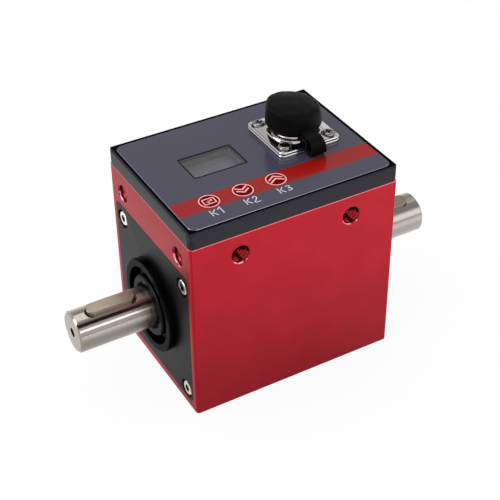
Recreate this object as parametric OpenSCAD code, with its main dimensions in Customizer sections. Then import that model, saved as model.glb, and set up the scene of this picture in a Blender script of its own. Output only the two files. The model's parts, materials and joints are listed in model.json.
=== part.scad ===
// Rotary torque sensor with keyed shaft ends, a display head and a capped round connector.
// Millimetres. X runs along the shaft, -Y is the front face and +Z is up.
// The origin is the middle of the base.

/* [Housing] */
// Length of the body along the shaft
body_l = 79; // [77:0.5:92]
// Width of the body, front to back
body_w = 60; // [59:0.5:74]
// Radius of the upright edges
edge_r = 1.2; // [0.6:0.1:2.5]
// Chamfer along the top edges
top_chamfer = 0.4; // [0.2:0.1:0.8]
// Height of the shaft axis above the base
axis_z = 28.5; // [28:0.25:31]
// Length of the electronics pocket
pocket_l = 60; // [58.5:0.25:61]
// Width of the electronics pocket
pocket_w = 41; // [40:0.25:42]
// Depth of the electronics pocket, from its floor to the top of the housing
pocket_depth = 15.5; // [14.5:0.25:24]
// Corner radius of the electronics pocket
pocket_r = 4; // [2:0.5:5]
// Thickness of the floor between rotor bore and pocket
floor_t = 4.5; // [3:0.25:5]
// Width of the seal groove in the top face
groove_w = 2; // [1.4:0.1:2.2]
// Depth of the seal groove
groove_depth = 1.2; // [0.8:0.1:1.6]
// Land between the pocket and the seal groove
groove_land = 1; // [0.6:0.1:1.2]

/* [Threaded holes] */
// Thread diameter of the fixing holes
fix_d = 6; // [4:0.5:6]
// Depth of the fixing holes in the side walls
fix_depth = 7; // [5:0.25:7.4]
// Mouth diameter of each countersunk fixing hole
fix_mouth_d = 7.2; // [6.6:0.1:8]
// Distance between the two holes in the front and in the back
front_pitch = 42.5; // [36:0.5:46]
// Distance between the two holes in each end
end_pitch = 41.5; // [38:0.5:43]
// Distance of the side holes below the top of the housing
fix_drop = 8.1; // [7:0.1:8.6]
// Depth of the four holes in the base
base_depth = 10; // [8:0.5:12]
// Base hole distance along the shaft
base_pitch_x = 40; // [30:0.5:42]
// Base hole distance across the shaft
base_pitch_y = 45; // [44:0.5:48]

/* [End plates] */
// Width of the inset end plate
plate_w = 54; // [52:0.25:56]
// Height of the inset end plate
plate_h = 54; // [52:0.25:54.5]
// Height of the plate's middle above the shaft axis
plate_rise = 1.2; // [0.6:0.1:1.6]
// Thickness of the end plate
plate_t = 6; // [5:0.25:7]
// Corner radius of the end plate
plate_r = 3; // [1.5:0.25:5]
// Outer diameter of the round boss
boss_d = 34.4; // [32:0.2:38]
// Height of the boss in front of the plate
boss_h = 2.75; // [2:0.05:4]
// Bore through the boss, which keeps the bearing in
lip_d = 28.6; // [26:0.1:30.4]
// Depth of the lip from the boss face to the bearing
lip_t = 4; // [3:0.1:5]
// How far the spigot reaches behind the bearing
spigot_over = 0.75; // [0.4:0.05:1]
// Distance of the plate screws from the plate's upright edges
plate_screw_inset_w = 4.6; // [4.2:0.1:5.5]
// Counterbore of the plate screws
plate_cbore_d = 7.2; // [6.2:0.1:7.8]

/* [Bearings] */
// Outer diameter of the ball bearings
bearing_od = 35; // [34:0.25:37]
// Bore of the ball bearings
bearing_bore_d = 17; // [16.5:0.1:17.5]
// Width of the ball bearings
bearing_w = 10; // [9.5:0.25:11]
// Ball diameter
ball_d = 4.76; // [4.4:0.02:4.9]
// Number of balls in each bearing
ball_count = 10; // [8:1:11]
// Wall of the inner ring at its shoulders
inner_wall = 2.85; // [2.5:0.05:3.2]
// Wall of the outer ring at its shoulders
outer_wall = 2.7; // [2.4:0.05:3]
// Step of the seal's seat into the outer ring's shoulder
seal_seat_depth = 0.8; // [0.6:0.05:1.1]
// Thickness of the rubber seals
seal_t = 0.9; // [0.7:0.05:1]
// Width of the ball cage
cage_w = 6.2; // [5.8:0.1:6.6]
// Radial thickness of the ball cage
cage_t = 1.4; // [1:0.1:1.8]

/* [Shaft] */
// Diameter of the shaft ends
shaft_d = 15; // [13:0.25:15.5]
// Length of the shaft ends outside the body
shaft_out = 31; // [28:0.5:44]
// Chamfer on the shaft tips
tip_chamfer = 0.7; // [0.3:0.1:1.2]
// Depth of the shaft step behind the collar face
step_depth = 1.5; // [0.8:0.1:2]
// Diameter of the shaft behind the bearings
shoulder_d = 22; // [20:0.25:22.5]
// Diameter of the torsion length between the coils
torsion_d = 13; // [10:0.5:15]
// Length of the torsion length
torsion_l = 18; // [14:0.5:19]
// Fillet at both ends of the torsion length
torsion_fillet = 3; // [1:0.25:3.5]
// Centre hole in the shaft tips
centre_d = 2.5; // [1.6:0.1:3]
// Depth of the centre hole's straight part
centre_depth = 5; // [3:0.5:8]
// Outer diameter of the spacer collars
collar_d = 22.4; // [20.5:0.1:24]
// Turn of the shaft at rest, towards the front
rest_turn = 11; // [-45:1:45]

/* [Keys] */
// Width of the shaft keys
key_w = 5; // [4:0.25:5.5]
// Height of the shaft keys
key_h = 5; // [4:0.25:6]
// Length of the shaft keys
key_l = 18; // [14:0.5:20]
// Chamfer round the top of the shaft keys
key_chamfer = 0.4; // [0.2:0.05:0.6]
// Distance of the key from the shaft tip
key_from_tip = 5.1; // [3:0.1:6]
// Depth of the keyway below the shaft surface
keyway_depth = 3.2; // [2.5:0.1:3.5]
// Spare length of the keyway at each end of the key
keyway_spare = 0.55; // [0.2:0.05:1]

/* [Coil rings] */
// Room between the rotor board and the bearing
ring_room_l = 2.65; // [2:0.05:3.2]
// Width of the coil rings
ring_w = 8; // [7:0.25:8.5]
// Outer diameter of the rotor rings
rotor_ring_d = 32; // [30:0.5:34]
// Air gap between the rotor and stator rings
air_gap = 0.6; // [0.4:0.05:1]
// Radial thickness of the stator rings, which fill the housing's bore
stator_t = 5.38; // [4.9:0.02:5.8]
// Width of the winding groove
winding_w = 5; // [4:0.25:5.5]
// Depth of the winding groove
winding_depth = 2.4; // [1.8:0.1:2.8]
// Distance of the winding from the groove's mouth
winding_sink = 0.4; // [0.2:0.05:0.6]
// Outer diameter of the stop flanges on the shaft
stop_d = 26; // [24:0.5:28]
// Width of the stop flanges
stop_w = 1.5; // [1:0.1:1.6]
// Room between the rotor board and the housing's bore
rotor_board_room_w = 3; // [2:0.1:5]
// Angle that each strain gauge covers on the shaft
gauge_angle = 50; // [35:1:60]
// Length of the strain gauges
gauge_l = 8; // [6:0.5:9]

/* [Lid and label] */
// Thickness of the lid
lid_t = 6; // [5.5:0.1:7.5]
// Radius of the lid's upright corners
lid_r = 2; // [1:0.1:3.5]
// Chamfer along the lid's top edge
lid_chamfer = 0.5; // [0.2:0.1:0.8]
// Margin of the label inside the lid's edge
label_margin = 1.5; // [1:0.1:2.2]
// Corner radius of the label
label_r = 3; // [1.5:0.25:5]
// Thickness of the label film and depth of its recess
label_t = 0.3; // [0.2:0.05:0.4]
// Distance of the lid screws from the long and short sides
lid_screw_inset = 4; // [3.9:0.1:4.3]

/* [Display] */
// Middle of the display along the shaft
display_x = -13.1; // [-15:0.1:-12.5]
// Middle of the display across the shaft
display_y = 3.75; // [2:0.25:5]
// Width of the window
window_w = 19.2; // [16:0.2:20.5]
// Height of the window
window_h = 12.3; // [10:0.1:13.5]
// Width of the ledge that carries the lens
lens_ledge = 1.2; // [0.8:0.1:1.5]
// Thickness of the lens
lens_t = 1.2; // [0.8:0.1:1.6]
// Depth of the display glass below the lens
display_drop = 2.2; // [1.6:0.1:2.4]
// Thickness of the display glass
display_glass_t = 1.6; // [1.2:0.1:2]
// Margin of the display board round the window
display_margin = 3.4; // [2.6:0.1:3.8]

/* [Membrane keys] */
// Distance of the first key from the pocket's end
switch_end_l = 4.8; // [4.4:0.1:5.6]
// Distance of the keys from the pocket's front side
switch_side_w = 4.1; // [4.1:0.1:4.9]
// Distance between keys
switch_pitch = 12.5; // [11.5:0.1:12.6]
// Side of each key switch body
switch_w = 5.8; // [5:0.1:6]
// Height of each key switch body
switch_h = 3.5; // [3:0.1:4]
// Diameter of the key plungers
plunger_d = 3.4; // [2.8:0.1:3.6]
// Travel of each key plunger
plunger_travel = 0.3; // [0.2:0.05:0.4]

/* [Circuit board] */
// Room between the circuit board and each end of the pocket
board_end_room_l = 1.5; // [1:0.1:2]
// Room between the circuit board and each side of the pocket
board_side_room_w = 1; // [0.8:0.05:1.2]
// Thickness of the circuit board
board_t = 1.6; // [1:0.1:2]
// Height of the standoffs under the board
standoff_h = 5; // [4:0.25:5.5]
// Width of the standoffs across flats
standoff_w = 4.5; // [4:0.1:4.8]

/* [Connector] */
// Middle of the connector along the shaft
socket_x = 19.2; // [18.5:0.1:20.5]
// Middle of the connector across the shaft
socket_y = 4.5; // [3:0.25:5.5]
// Side of the connector flange
flange_w = 23.9; // [23.5:0.1:24.6]
// Distance between the flange screws
flange_pitch = 17.4; // [17.2:0.1:18]
// Radius of the round flange corners
flange_corner_r = 2; // [1.5:0.1:2.6]
// Thickness of the metal flange
flange_t = 1.2; // [1:0.1:1.6]
// Thickness of the rubber gasket under the flange
gasket_t = 0.3; // [0.2:0.05:0.6]
// Thickness of the metal base plate
base_plate_t = 1.1; // [0.8:0.1:1.4]
// Outer diameter of the threaded neck
neck_d = 16; // [15:0.25:16.5]
// Height of the threaded neck above the flange
neck_h = 6.2; // [5:0.1:6.4]
// Inner diameter of the neck
neck_bore_d = 13.4; // [12.6:0.1:13.8]
// Diameter of the connector body below the lid
tail_d = 14.6; // [14.4:0.1:15]
// Length of the connector body below the lid
tail_l = 3; // [2:0.25:3.5]
// Height of the contact carrier above the flange
carrier_h = 1.5; // [1:0.25:2.25]
// Thickness of the contact carrier
carrier_t = 5; // [4:0.25:6]
// Number of contacts
pin_count = 5; // [3:1:6]
// Diameter of the contacts
pin_d = 1.4; // [1:0.1:1.6]
// Diameter of the contact circle
pin_circle_d = 8; // [7:0.25:9]

/* [Dust cap] */
// Outer diameter of the cap
cap_d = 19.7; // [19.2:0.1:22]
// Height of the cap's lower edge above the flange
cap_lift = 2.95; // [2.6:0.05:3.6]
// Height of the cap at the top of its crown
cap_h = 8.65; // [8.4:0.05:10.5]
// Radius of the domed crown
cap_dome_r = 24; // [22:0.5:40]
// Distance of the crown's top from the cap's axis
cap_lean = 4.5; // [0:0.1:4.6]
// Direction of the crown's top round the cap
cap_lean_turn = 162; // [0:1:359]
// Width of the strap
strap_w = 6; // [5:0.2:8]
// Thickness of the strap
strap_t = 1.3; // [1:0.1:1.5]
// How far the strap's loop reaches beyond the flange
strap_out = 4.7; // [4.2:0.1:5]
// Shift of the strap along the shaft
strap_shift = 0; // [-1:0.1:1]

/* [Fasteners] */
// Thread diameter of plate and lid screws
screw_d = 3; // [2.5:0.1:3]
// Head diameter of the plate screws
screw_head_d = 5.4; // [5:0.1:5.8]
// Head height of the plate screws
screw_head_h = 3; // [2.4:0.1:3.2]
// Thread length of the plate screws in the housing
screw_grip = 8; // [6:0.25:9]
// Key size of the plate screw sockets
socket_size = 2.5; // [2:0.1:2.8]
// Head diameter of the countersunk lid screws
lid_head_d = 5.6; // [5:0.1:6]
// Thread length of the lid screws in the housing
lid_grip = 7; // [5:0.25:8]
// Thread diameter of board and connector screws
small_d = 2.5; // [2:0.1:2.6]
// Head diameter of board and connector screws
small_head_d = 4.6; // [4:0.1:4.8]
// Head height of board and connector screws
small_head_h = 1.3; // [1.1:0.1:1.8]
// Thread length of the connector screws in the lid
small_grip = 4; // [3:0.1:4.6]

/* [Clearances] */
// Gap round each end plate in its pocket
plate_gap = 0.15; // [0.05:0.05:0.3]
// Gap at seats that are pressed or bonded
seat_gap = 0.01; // [0.005:0.005:0.03]
// Gap of threads in their holes
thread_gap = 0.02; // [0.01:0.01:0.05]
// Gap of screws in their clearance holes
hole_gap = 0.2; // [0.1:0.05:0.3]
// Gap between balls and raceways
race_gap = 0.06; // [0.04:0.01:0.1]
// Gap between balls and cage pockets
cage_gap = 0.15; // [0.1:0.01:0.2]
// Gap between each seal lip and the inner ring
seal_gap = 0.12; // [0.08:0.01:0.2]
// Gap of plungers in their guides
guide_gap = 0.25; // [0.15:0.05:0.4]
// Gap of parts laid in their recesses
lay_gap = 0.1; // [0.05:0.05:0.15]
// Gap of the dust cap on the neck
cap_gap = 0.15; // [0.1:0.05:0.3]

/* [Hidden] */
fine = 96;    // facets of large turned shapes
small = 40;   // facets of small round shapes
over = 1;     // spare length of cutting tools

end_x = body_l / 2;
boss_x = end_x + boss_h;
bearing_x = boss_x - lip_t;
bearing_in_x = bearing_x - bearing_w;
bearing_mid_x = bearing_x - bearing_w / 2;
spigot_x = bearing_in_x - spigot_over;
plate_x = end_x - plate_t;
plate_z = axis_z + plate_rise;
plate_pitch = plate_w - 2 * plate_screw_inset_w;
tip_x = end_x + shaft_out;
step_x = boss_x - step_depth;

rotor_bore_d = rotor_ring_d + 2 * air_gap + 2 * stator_t + 2 * thread_gap;
rotor_board_d = rotor_bore_d - 2 * rotor_board_room_w;
floor_z = axis_z + rotor_bore_d / 2 + floor_t;
housing_h = floor_z + pocket_depth;
fix_z = housing_h - fix_drop;
mouth_h = (fix_mouth_d - fix_d) / 2;
drill_tip = 0.3;   // cone height of a drilled hole's end, as a share of its diameter

inner_land_d = bearing_bore_d + 2 * inner_wall;
outer_land_d = bearing_od - 2 * outer_wall;
seal_seat_d = outer_land_d + 2 * seal_seat_depth;
race_r = ball_d / 2 + race_gap;
pitch_r = (inner_land_d + outer_land_d) / 4;
rotor_board_t = 1.6;
stop_x = bearing_in_x - ring_room_l - rotor_board_t - stop_w;
ring_x = stop_x - ring_w / 2;
gauge_t = 0.12;

lid_z = housing_h;
top_z = lid_z + lid_t;
label_z = top_z - label_t;
label_l = body_l - 2 * label_margin;
label_w = body_w - 2 * label_margin;
lens_z = label_z - lens_t;
glass_z = lens_z - display_drop;
display_board_t = 1.2;
display_board_z = glass_z - display_glass_t - display_board_t;
board_l = pocket_l - 2 * board_end_room_l;
board_w = pocket_w - 2 * board_side_room_w;
switch_x = switch_end_l - pocket_l / 2;
switch_y = switch_side_w - pocket_w / 2;
board_z = floor_z + standoff_h;
board_top_z = board_z + board_t;
lid_screws_at = [for (sx = [-1, 1], sy = [-1, 1])
    [sx * (body_l / 2 - lid_screw_inset), sy * (body_w / 2 - lid_screw_inset)]];
lid_head_h = (lid_head_d - screw_d) / 2;

base_plate_z = top_z;
gasket_z = base_plate_z + base_plate_t;
flange_z = gasket_z + gasket_t;
flange_top_z = flange_z + flange_t;
neck_z = flange_top_z + neck_h;
flange_seat = 0.6;   // depth of the screw seats in the flange
tail_z = lid_z - tail_l;
cap_z = flange_top_z + cap_lift;
cap_top_z = cap_z + cap_h;
board_inset = 3.5;   // distance of the board's screws from its edges
board_hole_x = board_l / 2 - board_inset;
board_hole_y = board_w / 2 - board_inset;
board_holes = [[switch_x + switch_pitch / 2, -board_hole_y], [board_hole_x, -board_hole_y],
               [-board_hole_x, board_hole_y], [board_hole_x, board_hole_y]];

red = [0.66, 0.13, 0.18];
black = [0.14, 0.14, 0.15];
steel = [0.70, 0.69, 0.68];
nickel = [0.82, 0.82, 0.84];
rubber = [0.10, 0.10, 0.11];
ferrite = [0.30, 0.29, 0.30];
copper = [0.72, 0.42, 0.24];
board_green = [0.10, 0.35, 0.22];
brass = [0.78, 0.63, 0.30];

// Rectangle with round corners, centred
module rounded_rect(l, w, r) {
    square([l - 2 * r, w], center = true);
    square([l, w - 2 * r], center = true);
    for (sx = [-1, 1], sy = [-1, 1])
        translate([sx * (l / 2 - r), sy * (w / 2 - r)])
            circle(r = r, $fn = small);
}

// Plate between two heights, with round corners
module slab(l, w, r, z0, z1) {
    translate([0, 0, z0])
        linear_extrude(z1 - z0)
            rounded_rect(l, w, r);
}

// Round bar along X about the shaft axis
module bar_x(d, x0, x1) {
    translate([x0, 0, axis_z])
        rotate([0, 90, 0])
            cylinder(d = d, h = x1 - x0, $fn = fine);
}

// Round bar along Z
module bar_z(d, z0, z1) {
    translate([0, 0, z0])
        cylinder(d = d, h = z1 - z0, $fn = small);
}

// Body turned about the shaft axis from a profile of [radius, x] points
module turned(profile) {
    translate([0, 0, axis_z])
        rotate([0, 90, 0])
            rotate_extrude($fn = fine)
                polygon(profile);
}

// Ring about the shaft axis
module ring_x_axis(d_out, d_in, x0, x1) {
    turned([[d_in / 2, x0], [d_out / 2, x0], [d_out / 2, x1], [d_in / 2, x1]]);
}

// The right-hand form, or its mirror image for the left end
module at_side(side) {
    if (side > 0)
        children();
    else
        mirror([1, 0, 0])
            children();
}

// Blind threaded hole with a countersunk mouth, opening at the origin towards +Z
module fixing_hole(depth) {
    translate([0, 0, -depth])
        cylinder(d = fix_d, h = depth + over, $fn = small);
    translate([0, 0, -depth - drill_tip * fix_d])
        cylinder(d1 = 0, d2 = fix_d, h = drill_tip * fix_d, $fn = small);
    translate([0, 0, -mouth_h])
        cylinder(d1 = fix_d, d2 = fix_mouth_d + 2 * over, h = mouth_h + over, $fn = small);
}

// Wedges that chamfer the four top edges of a block
module top_edges(l, w, top, c) {
    for (a = [0, 180])
        rotate([0, 0, a]) {
            translate([0, w / 2, top])
                rotate([45, 0, 0])
                    cube([l + 2 * over, c * sqrt(2), c * sqrt(2)], center = true);
            translate([l / 2, 0, top])
                rotate([0, 45, 0])
                    cube([c * sqrt(2), w + 2 * over, c * sqrt(2)], center = true);
        }
}

// Places of the four plate screws, seen along X
module at_plate_screws() {
    for (sy = [-1, 1], sz = [-1, 1])
        translate([0, sy * plate_pitch / 2, axis_z + sz * plate_pitch / 2])
            rotate([0, 90, 0])
                children();
}

module housing() {
    color(red)
        difference() {
            slab(body_l, body_w, edge_r, 0, housing_h);
            top_edges(body_l, body_w, housing_h, top_chamfer);
            bar_x(rotor_bore_d, -end_x - over, end_x + over);
            for (side = [-1, 1])
                at_side(side) {
                    translate([plate_x, 0, plate_z])
                        rotate([90, 0, 90])
                            linear_extrude(plate_t + over)
                                rounded_rect(plate_w + 2 * plate_gap, plate_h + 2 * plate_gap, plate_r);
                    at_plate_screws()
                        bar_z(screw_d + 2 * thread_gap, plate_x - screw_grip - over, plate_x + over);
                    for (sy = [-1, 1])
                        translate([end_x, sy * end_pitch / 2, fix_z])
                            rotate([0, 90, 0])
                                fixing_hole(fix_depth);
                    translate([ring_x, 0, 0])
                        bar_z(lead_hole_d, axis_z + rotor_bore_d / 2 - over, floor_z + over);
                }
            for (sx = [-1, 1], a = [0, 180])
                rotate([0, 0, a])
                    translate([sx * front_pitch / 2, -body_w / 2, fix_z])
                        rotate([90, 0, 0])
                            fixing_hole(fix_depth);
            for (sx = [-1, 1], sy = [-1, 1])
                translate([sx * base_pitch_x / 2, sy * base_pitch_y / 2, 0])
                    rotate([180, 0, 0])
                        fixing_hole(base_depth);
            slab(pocket_l, pocket_w, pocket_r, floor_z, housing_h + over);
            difference() {
                slab(groove_l, groove_b, groove_r, housing_h - groove_depth, housing_h + over);
                slab(groove_l - 2 * groove_w, groove_b - 2 * groove_w, groove_r - groove_w,
                     housing_h - groove_depth - over, housing_h + 2 * over);
            }
            for (p = lid_screws_at)
                translate([p[0], p[1], 0])
                    bar_z(screw_d + 2 * thread_gap, lid_z - lid_grip - over, lid_z + over);
            for (p = board_holes)
                translate([p[0], p[1], 0])
                    bar_z(small_d + 2 * thread_gap, floor_z - standoff_stud, floor_z + over);
        }
}
groove_l = pocket_l + 2 * groove_land + 2 * groove_w;
groove_b = pocket_w + 2 * groove_land + 2 * groove_w;
groove_r = pocket_r + groove_land + groove_w;
lead_d = 2.6;
lead_hole_d = lead_d + 2 * guide_gap;
standoff_stud = 2.5;

// Square plate with boss, bearing seat and spigot, for the right end
module end_plate(side) {
    color(black)
        at_side(side)
            difference() {
                union() {
                    translate([plate_x, 0, plate_z])
                        rotate([90, 0, 90])
                            linear_extrude(plate_t)
                                rounded_rect(plate_w, plate_h, plate_r);
                    turned([[0, end_x - over], [boss_d / 2, end_x - over], [boss_d / 2, boss_x - boss_edge],
                            [boss_d / 2 - boss_edge, boss_x], [0, boss_x]]);
                    bar_x(rotor_bore_d - 2 * thread_gap, spigot_x, plate_x + over);
                }
                bar_x(lip_d, spigot_x - over, boss_x + over);
                turned([[0, boss_x - boss_edge], [lip_d / 2, boss_x - boss_edge],
                        [lip_d / 2 + boss_edge + over, boss_x + over], [0, boss_x + over]]);
                bar_x(bearing_od + 2 * seat_gap, spigot_x - over, bearing_x);
                at_plate_screws() {
                    bar_z(screw_d + 2 * hole_gap, plate_x - over, end_x + over);
                    bar_z(plate_cbore_d, end_x - screw_head_h - head_sink, end_x + over);
                }
            }
}
boss_edge = 0.3;
head_sink = 0.2;
module left_end_plate() end_plate(-1);
module right_end_plate() end_plate(1);

// Four socket head screws, for the right end
module plate_screws(side) {
    head_x = end_x - head_sink - screw_head_h;
    color(nickel)
        at_side(side)
            at_plate_screws()
                difference() {
                    union() {
                        bar_z(screw_head_d, head_x, head_x + screw_head_h - head_edge);
                        translate([0, 0, head_x + screw_head_h - head_edge])
                            cylinder(d1 = screw_head_d, d2 = screw_head_d - 2 * head_edge, h = head_edge,
                                     $fn = small);
                        bar_z(screw_d, plate_x - screw_grip, head_x + head_edge);
                    }
                    translate([0, 0, head_x + screw_head_h - socket_depth])
                        cylinder(d = socket_size / cos(30), h = socket_depth + over, $fn = 6);
                }
}
head_edge = 0.3;
socket_depth = 1.5;
module left_plate_screws() plate_screws(-1);
module right_plate_screws() plate_screws(1);

// Points of a ball groove, from the low x side to the high x side; out is 1 or -1
function groove_points(out) =
    let (land = out > 0 ? outer_land_d / 2 : inner_land_d / 2,
         half = sqrt(pow(race_r, 2) - pow(land - pitch_r, 2)),
         a = asin(half / race_r))
    [for (i = [0:groove_steps])
        let (t = -a + 2 * a * i / groove_steps)
        [pitch_r + out * race_r * cos(t), bearing_mid_x + race_r * sin(t)]];
groove_steps = 14;

module bearing_outer_ring(side) {
    face = seal_t + 2 * seal_inset;
    color(steel)
        at_side(side)
            turned(concat(
                [[bearing_od / 2, bearing_x - ring_edge], [bearing_od / 2 - ring_edge, bearing_x],
                 [seal_seat_d / 2, bearing_x], [seal_seat_d / 2, bearing_x - face],
                 [outer_land_d / 2, bearing_x - face]],
                [for (i = [groove_steps:-1:0]) groove_points(1)[i]],
                [[outer_land_d / 2, bearing_in_x + face], [seal_seat_d / 2, bearing_in_x + face],
                 [seal_seat_d / 2, bearing_in_x], [bearing_od / 2 - ring_edge, bearing_in_x],
                 [bearing_od / 2, bearing_in_x + ring_edge]]));
}
seal_inset = 0.08;
ring_edge = 0.4;
module left_bearing_outer_ring() bearing_outer_ring(-1);
module right_bearing_outer_ring() bearing_outer_ring(1);

module bearing_inner_ring(side) {
    bore = bearing_bore_d / 2;
    color(steel)
        at_side(side)
            turned(concat(
                [[bore, bearing_in_x + ring_edge], [bore + ring_edge, bearing_in_x],
                 [inner_land_d / 2, bearing_in_x]],
                groove_points(-1),
                [[inner_land_d / 2, bearing_x], [bore + ring_edge, bearing_x],
                 [bore, bearing_x - ring_edge]]));
}
module left_bearing_inner_ring() bearing_inner_ring(-1);
module right_bearing_inner_ring() bearing_inner_ring(1);

// Two rubber seals, snapped into the outer ring
module bearing_seals(side) {
    color(rubber)
        at_side(side)
            for (x = [bearing_x - seal_inset - seal_t, bearing_in_x + seal_inset])
                ring_x_axis(seal_seat_d - 2 * seat_gap, inner_land_d + 2 * seal_gap, x, x + seal_t);
}
module left_bearing_seals() bearing_seals(-1);
module right_bearing_seals() bearing_seals(1);

// Places of the balls in a bearing
module at_balls() {
    for (i = [0:ball_count - 1])
        translate([bearing_mid_x, 0, axis_z])
            rotate([360 * i / ball_count, 0, 0])
                translate([0, 0, pitch_r])
                    children();
}

module bearing_cage(side) {
    color(brass)
        at_side(side)
            difference() {
                ring_x_axis(2 * pitch_r + cage_t, 2 * pitch_r - cage_t,
                            bearing_mid_x - cage_w / 2, bearing_mid_x + cage_w / 2);
                at_balls()
                    sphere(d = ball_d + 2 * cage_gap, $fn = small);
            }
}
module left_bearing_cage() bearing_cage(-1);
module right_bearing_cage() bearing_cage(1);

module bearing_balls(side) {
    color(steel)
        at_side(side)
            at_balls()
                sphere(d = ball_d, $fn = small);
}
module left_bearing_balls() bearing_balls(-1);
module right_bearing_balls() bearing_balls(1);

// Pieces of the rotor, turned to their place at rest
module on_rotor() {
    translate([0, 0, axis_z])
        rotate([rest_turn, 0, 0])
            translate([0, 0, -axis_z])
                children();
}

// Key-shaped block with round ends along X, its base at height z0
module key_block(l, w, z0, z1) {
    translate([0, 0, z0])
        linear_extrude(z1 - z0) {
            square([l - w, w], center = true);
            for (s = [-1, 1])
                translate([s * (l - w) / 2, 0])
                    circle(d = w, $fn = small);
        }
}
key_x = tip_x - key_from_tip - key_l / 2;
key_z = axis_z + shaft_d / 2 - keyway_depth;

module shaft() {
    f = torsion_fillet;
    half = [for (p = concat(
        [[torsion_d / 2, 0]],
        [for (i = [0:fillet_steps])
            let (t = 90 * i / fillet_steps)
            [torsion_d / 2 + f * (1 - cos(t)), torsion_l / 2 + f * sin(t)]],
        [[shoulder_d / 2, torsion_l / 2 + f],
         [shoulder_d / 2, stop_x], [stop_d / 2, stop_x], [stop_d / 2, stop_x + stop_w],
         [shoulder_d / 2, stop_x + stop_w], [shoulder_d / 2, bearing_in_x],
         [bearing_bore_d / 2 - seat_gap, bearing_in_x], [bearing_bore_d / 2 - seat_gap, step_x],
         [shaft_d / 2, step_x], [shaft_d / 2, tip_x - tip_chamfer],
         [shaft_d / 2 - tip_chamfer, tip_x], [0, tip_x]])) p];
    color(steel)
        on_rotor()
            for (side = [-1, 1])
                at_side(side)
                    difference() {
                        turned(concat([[0, 0]], half));
                        translate([key_x, 0, 0])
                            key_block(key_l + 2 * keyway_spare, key_w + 2 * seat_gap, key_z, key_z + shaft_d);
                        bar_x(centre_d, tip_x - centre_depth - centre_d, tip_x + over);
                        turned([[0, tip_x - centre_d], [centre_d / 2, tip_x - centre_d],
                                [centre_d + over, tip_x + over], [0, tip_x + over]]);
                    }
}
fillet_steps = 8;

// Parallel key with round ends and a chamfered top
module shaft_key(side) {
    color([0.62, 0.57, 0.52])
        on_rotor()
            at_side(side)
                translate([key_x, 0, 0])
                    difference() {
                        key_block(key_l, key_w, key_z, key_z + key_h);
                        for (a = [0, 180])
                            rotate([0, 0, a]) {
                                translate([0, key_w / 2, key_z + key_h])
                                    rotate([45, 0, 0])
                                        cube([key_l - key_w, key_chamfer * sqrt(2), key_chamfer * sqrt(2)],
                                             center = true);
                                translate([(key_l - key_w) / 2, 0, key_z + key_h])
                                    nose_chamfer();
                            }
                    }
}

// Ring that chamfers the round nose of a key, over its outer half turn
module nose_chamfer() {
    c = key_chamfer;
    rotate([0, 0, -90])
        rotate_extrude(angle = 180, $fn = small)
            polygon([[key_w / 2 - c, over], [key_w / 2 - c, 0], [key_w / 2, -c],
                     [key_w / 2 + over, -c], [key_w / 2 + over, over]]);
}
module left_shaft_key() shaft_key(-1);
module right_shaft_key() shaft_key(1);

// Spacer collar on the bearing seat, flush with the boss
module collar(side) {
    color([0.25, 0.25, 0.26])
        at_side(side)
            turned([[bearing_bore_d / 2, bearing_x], [collar_d / 2, bearing_x],
                    [collar_d / 2, boss_x - ring_edge],
                    [collar_d / 2 - ring_edge, boss_x], [bearing_bore_d / 2 + ring_edge, boss_x],
                    [bearing_bore_d / 2, boss_x - ring_edge]]);
}
module left_collar() collar(-1);
module right_collar() collar(1);

// Four strain gauges bonded round the torsion length
module strain_gauges() {
    color(copper)
        on_rotor()
            for (a = [0:90:270])
                translate([-gauge_l / 2, 0, axis_z])
                    rotate([a - gauge_angle / 2, 0, 0])
                        rotate([0, 90, 0])
                            rotate_extrude(angle = gauge_angle, $fn = fine)
                                translate([torsion_d / 2 + seat_gap, 0])
                                    square([gauge_t, gauge_l]);
}

// Round board that carries the rotor electronics, against the right stop flange
module rotor_board() {
    color(board_green)
        ring_x_axis(rotor_board_d, shoulder_d + 2 * seat_gap,
                    stop_x + stop_w, stop_x + stop_w + rotor_board_t);
}

// Grooved ring on the shaft; the groove opens outwards
module rotor_ring(side) {
    r_in = shoulder_d / 2 + seat_gap;
    r_out = rotor_ring_d / 2;
    r_floor = r_out - winding_depth;
    color(ferrite)
        at_side(side)
            turned([[r_in, ring_x - ring_w / 2], [r_out, ring_x - ring_w / 2],
                    [r_out, ring_x - winding_w / 2],
                    [r_floor, ring_x - winding_w / 2], [r_floor, ring_x + winding_w / 2],
                    [r_out, ring_x + winding_w / 2], [r_out, ring_x + ring_w / 2],
                    [r_in, ring_x + ring_w / 2]]);
}
module power_rotor_ring() rotor_ring(-1);
module signal_rotor_ring() rotor_ring(1);

// Copper winding in the groove of a rotor ring
module rotor_winding(side) {
    color(copper)
        at_side(side)
            ring_x_axis(rotor_ring_d - 2 * winding_sink, rotor_ring_d - 2 * winding_depth + 2 * seat_gap,
                        ring_x - winding_w / 2 + lay_gap, ring_x + winding_w / 2 - lay_gap);
}
module power_rotor_winding() rotor_winding(-1);
module signal_rotor_winding() rotor_winding(1);

// Grooved ring in the housing bore; the groove opens inwards
stator_in_r = rotor_ring_d / 2 + air_gap;
stator_out_r = stator_in_r + stator_t;
module stator_ring(side) {
    r_floor = stator_in_r + winding_depth;
    color(ferrite)
        at_side(side)
            turned([[stator_in_r, ring_x - ring_w / 2], [stator_out_r, ring_x - ring_w / 2],
                    [stator_out_r, ring_x + ring_w / 2], [stator_in_r, ring_x + ring_w / 2],
                    [stator_in_r, ring_x + winding_w / 2], [r_floor, ring_x + winding_w / 2],
                    [r_floor, ring_x - winding_w / 2], [stator_in_r, ring_x - winding_w / 2]]);
}
module power_stator_ring() stator_ring(-1);
module signal_stator_ring() stator_ring(1);

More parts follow.
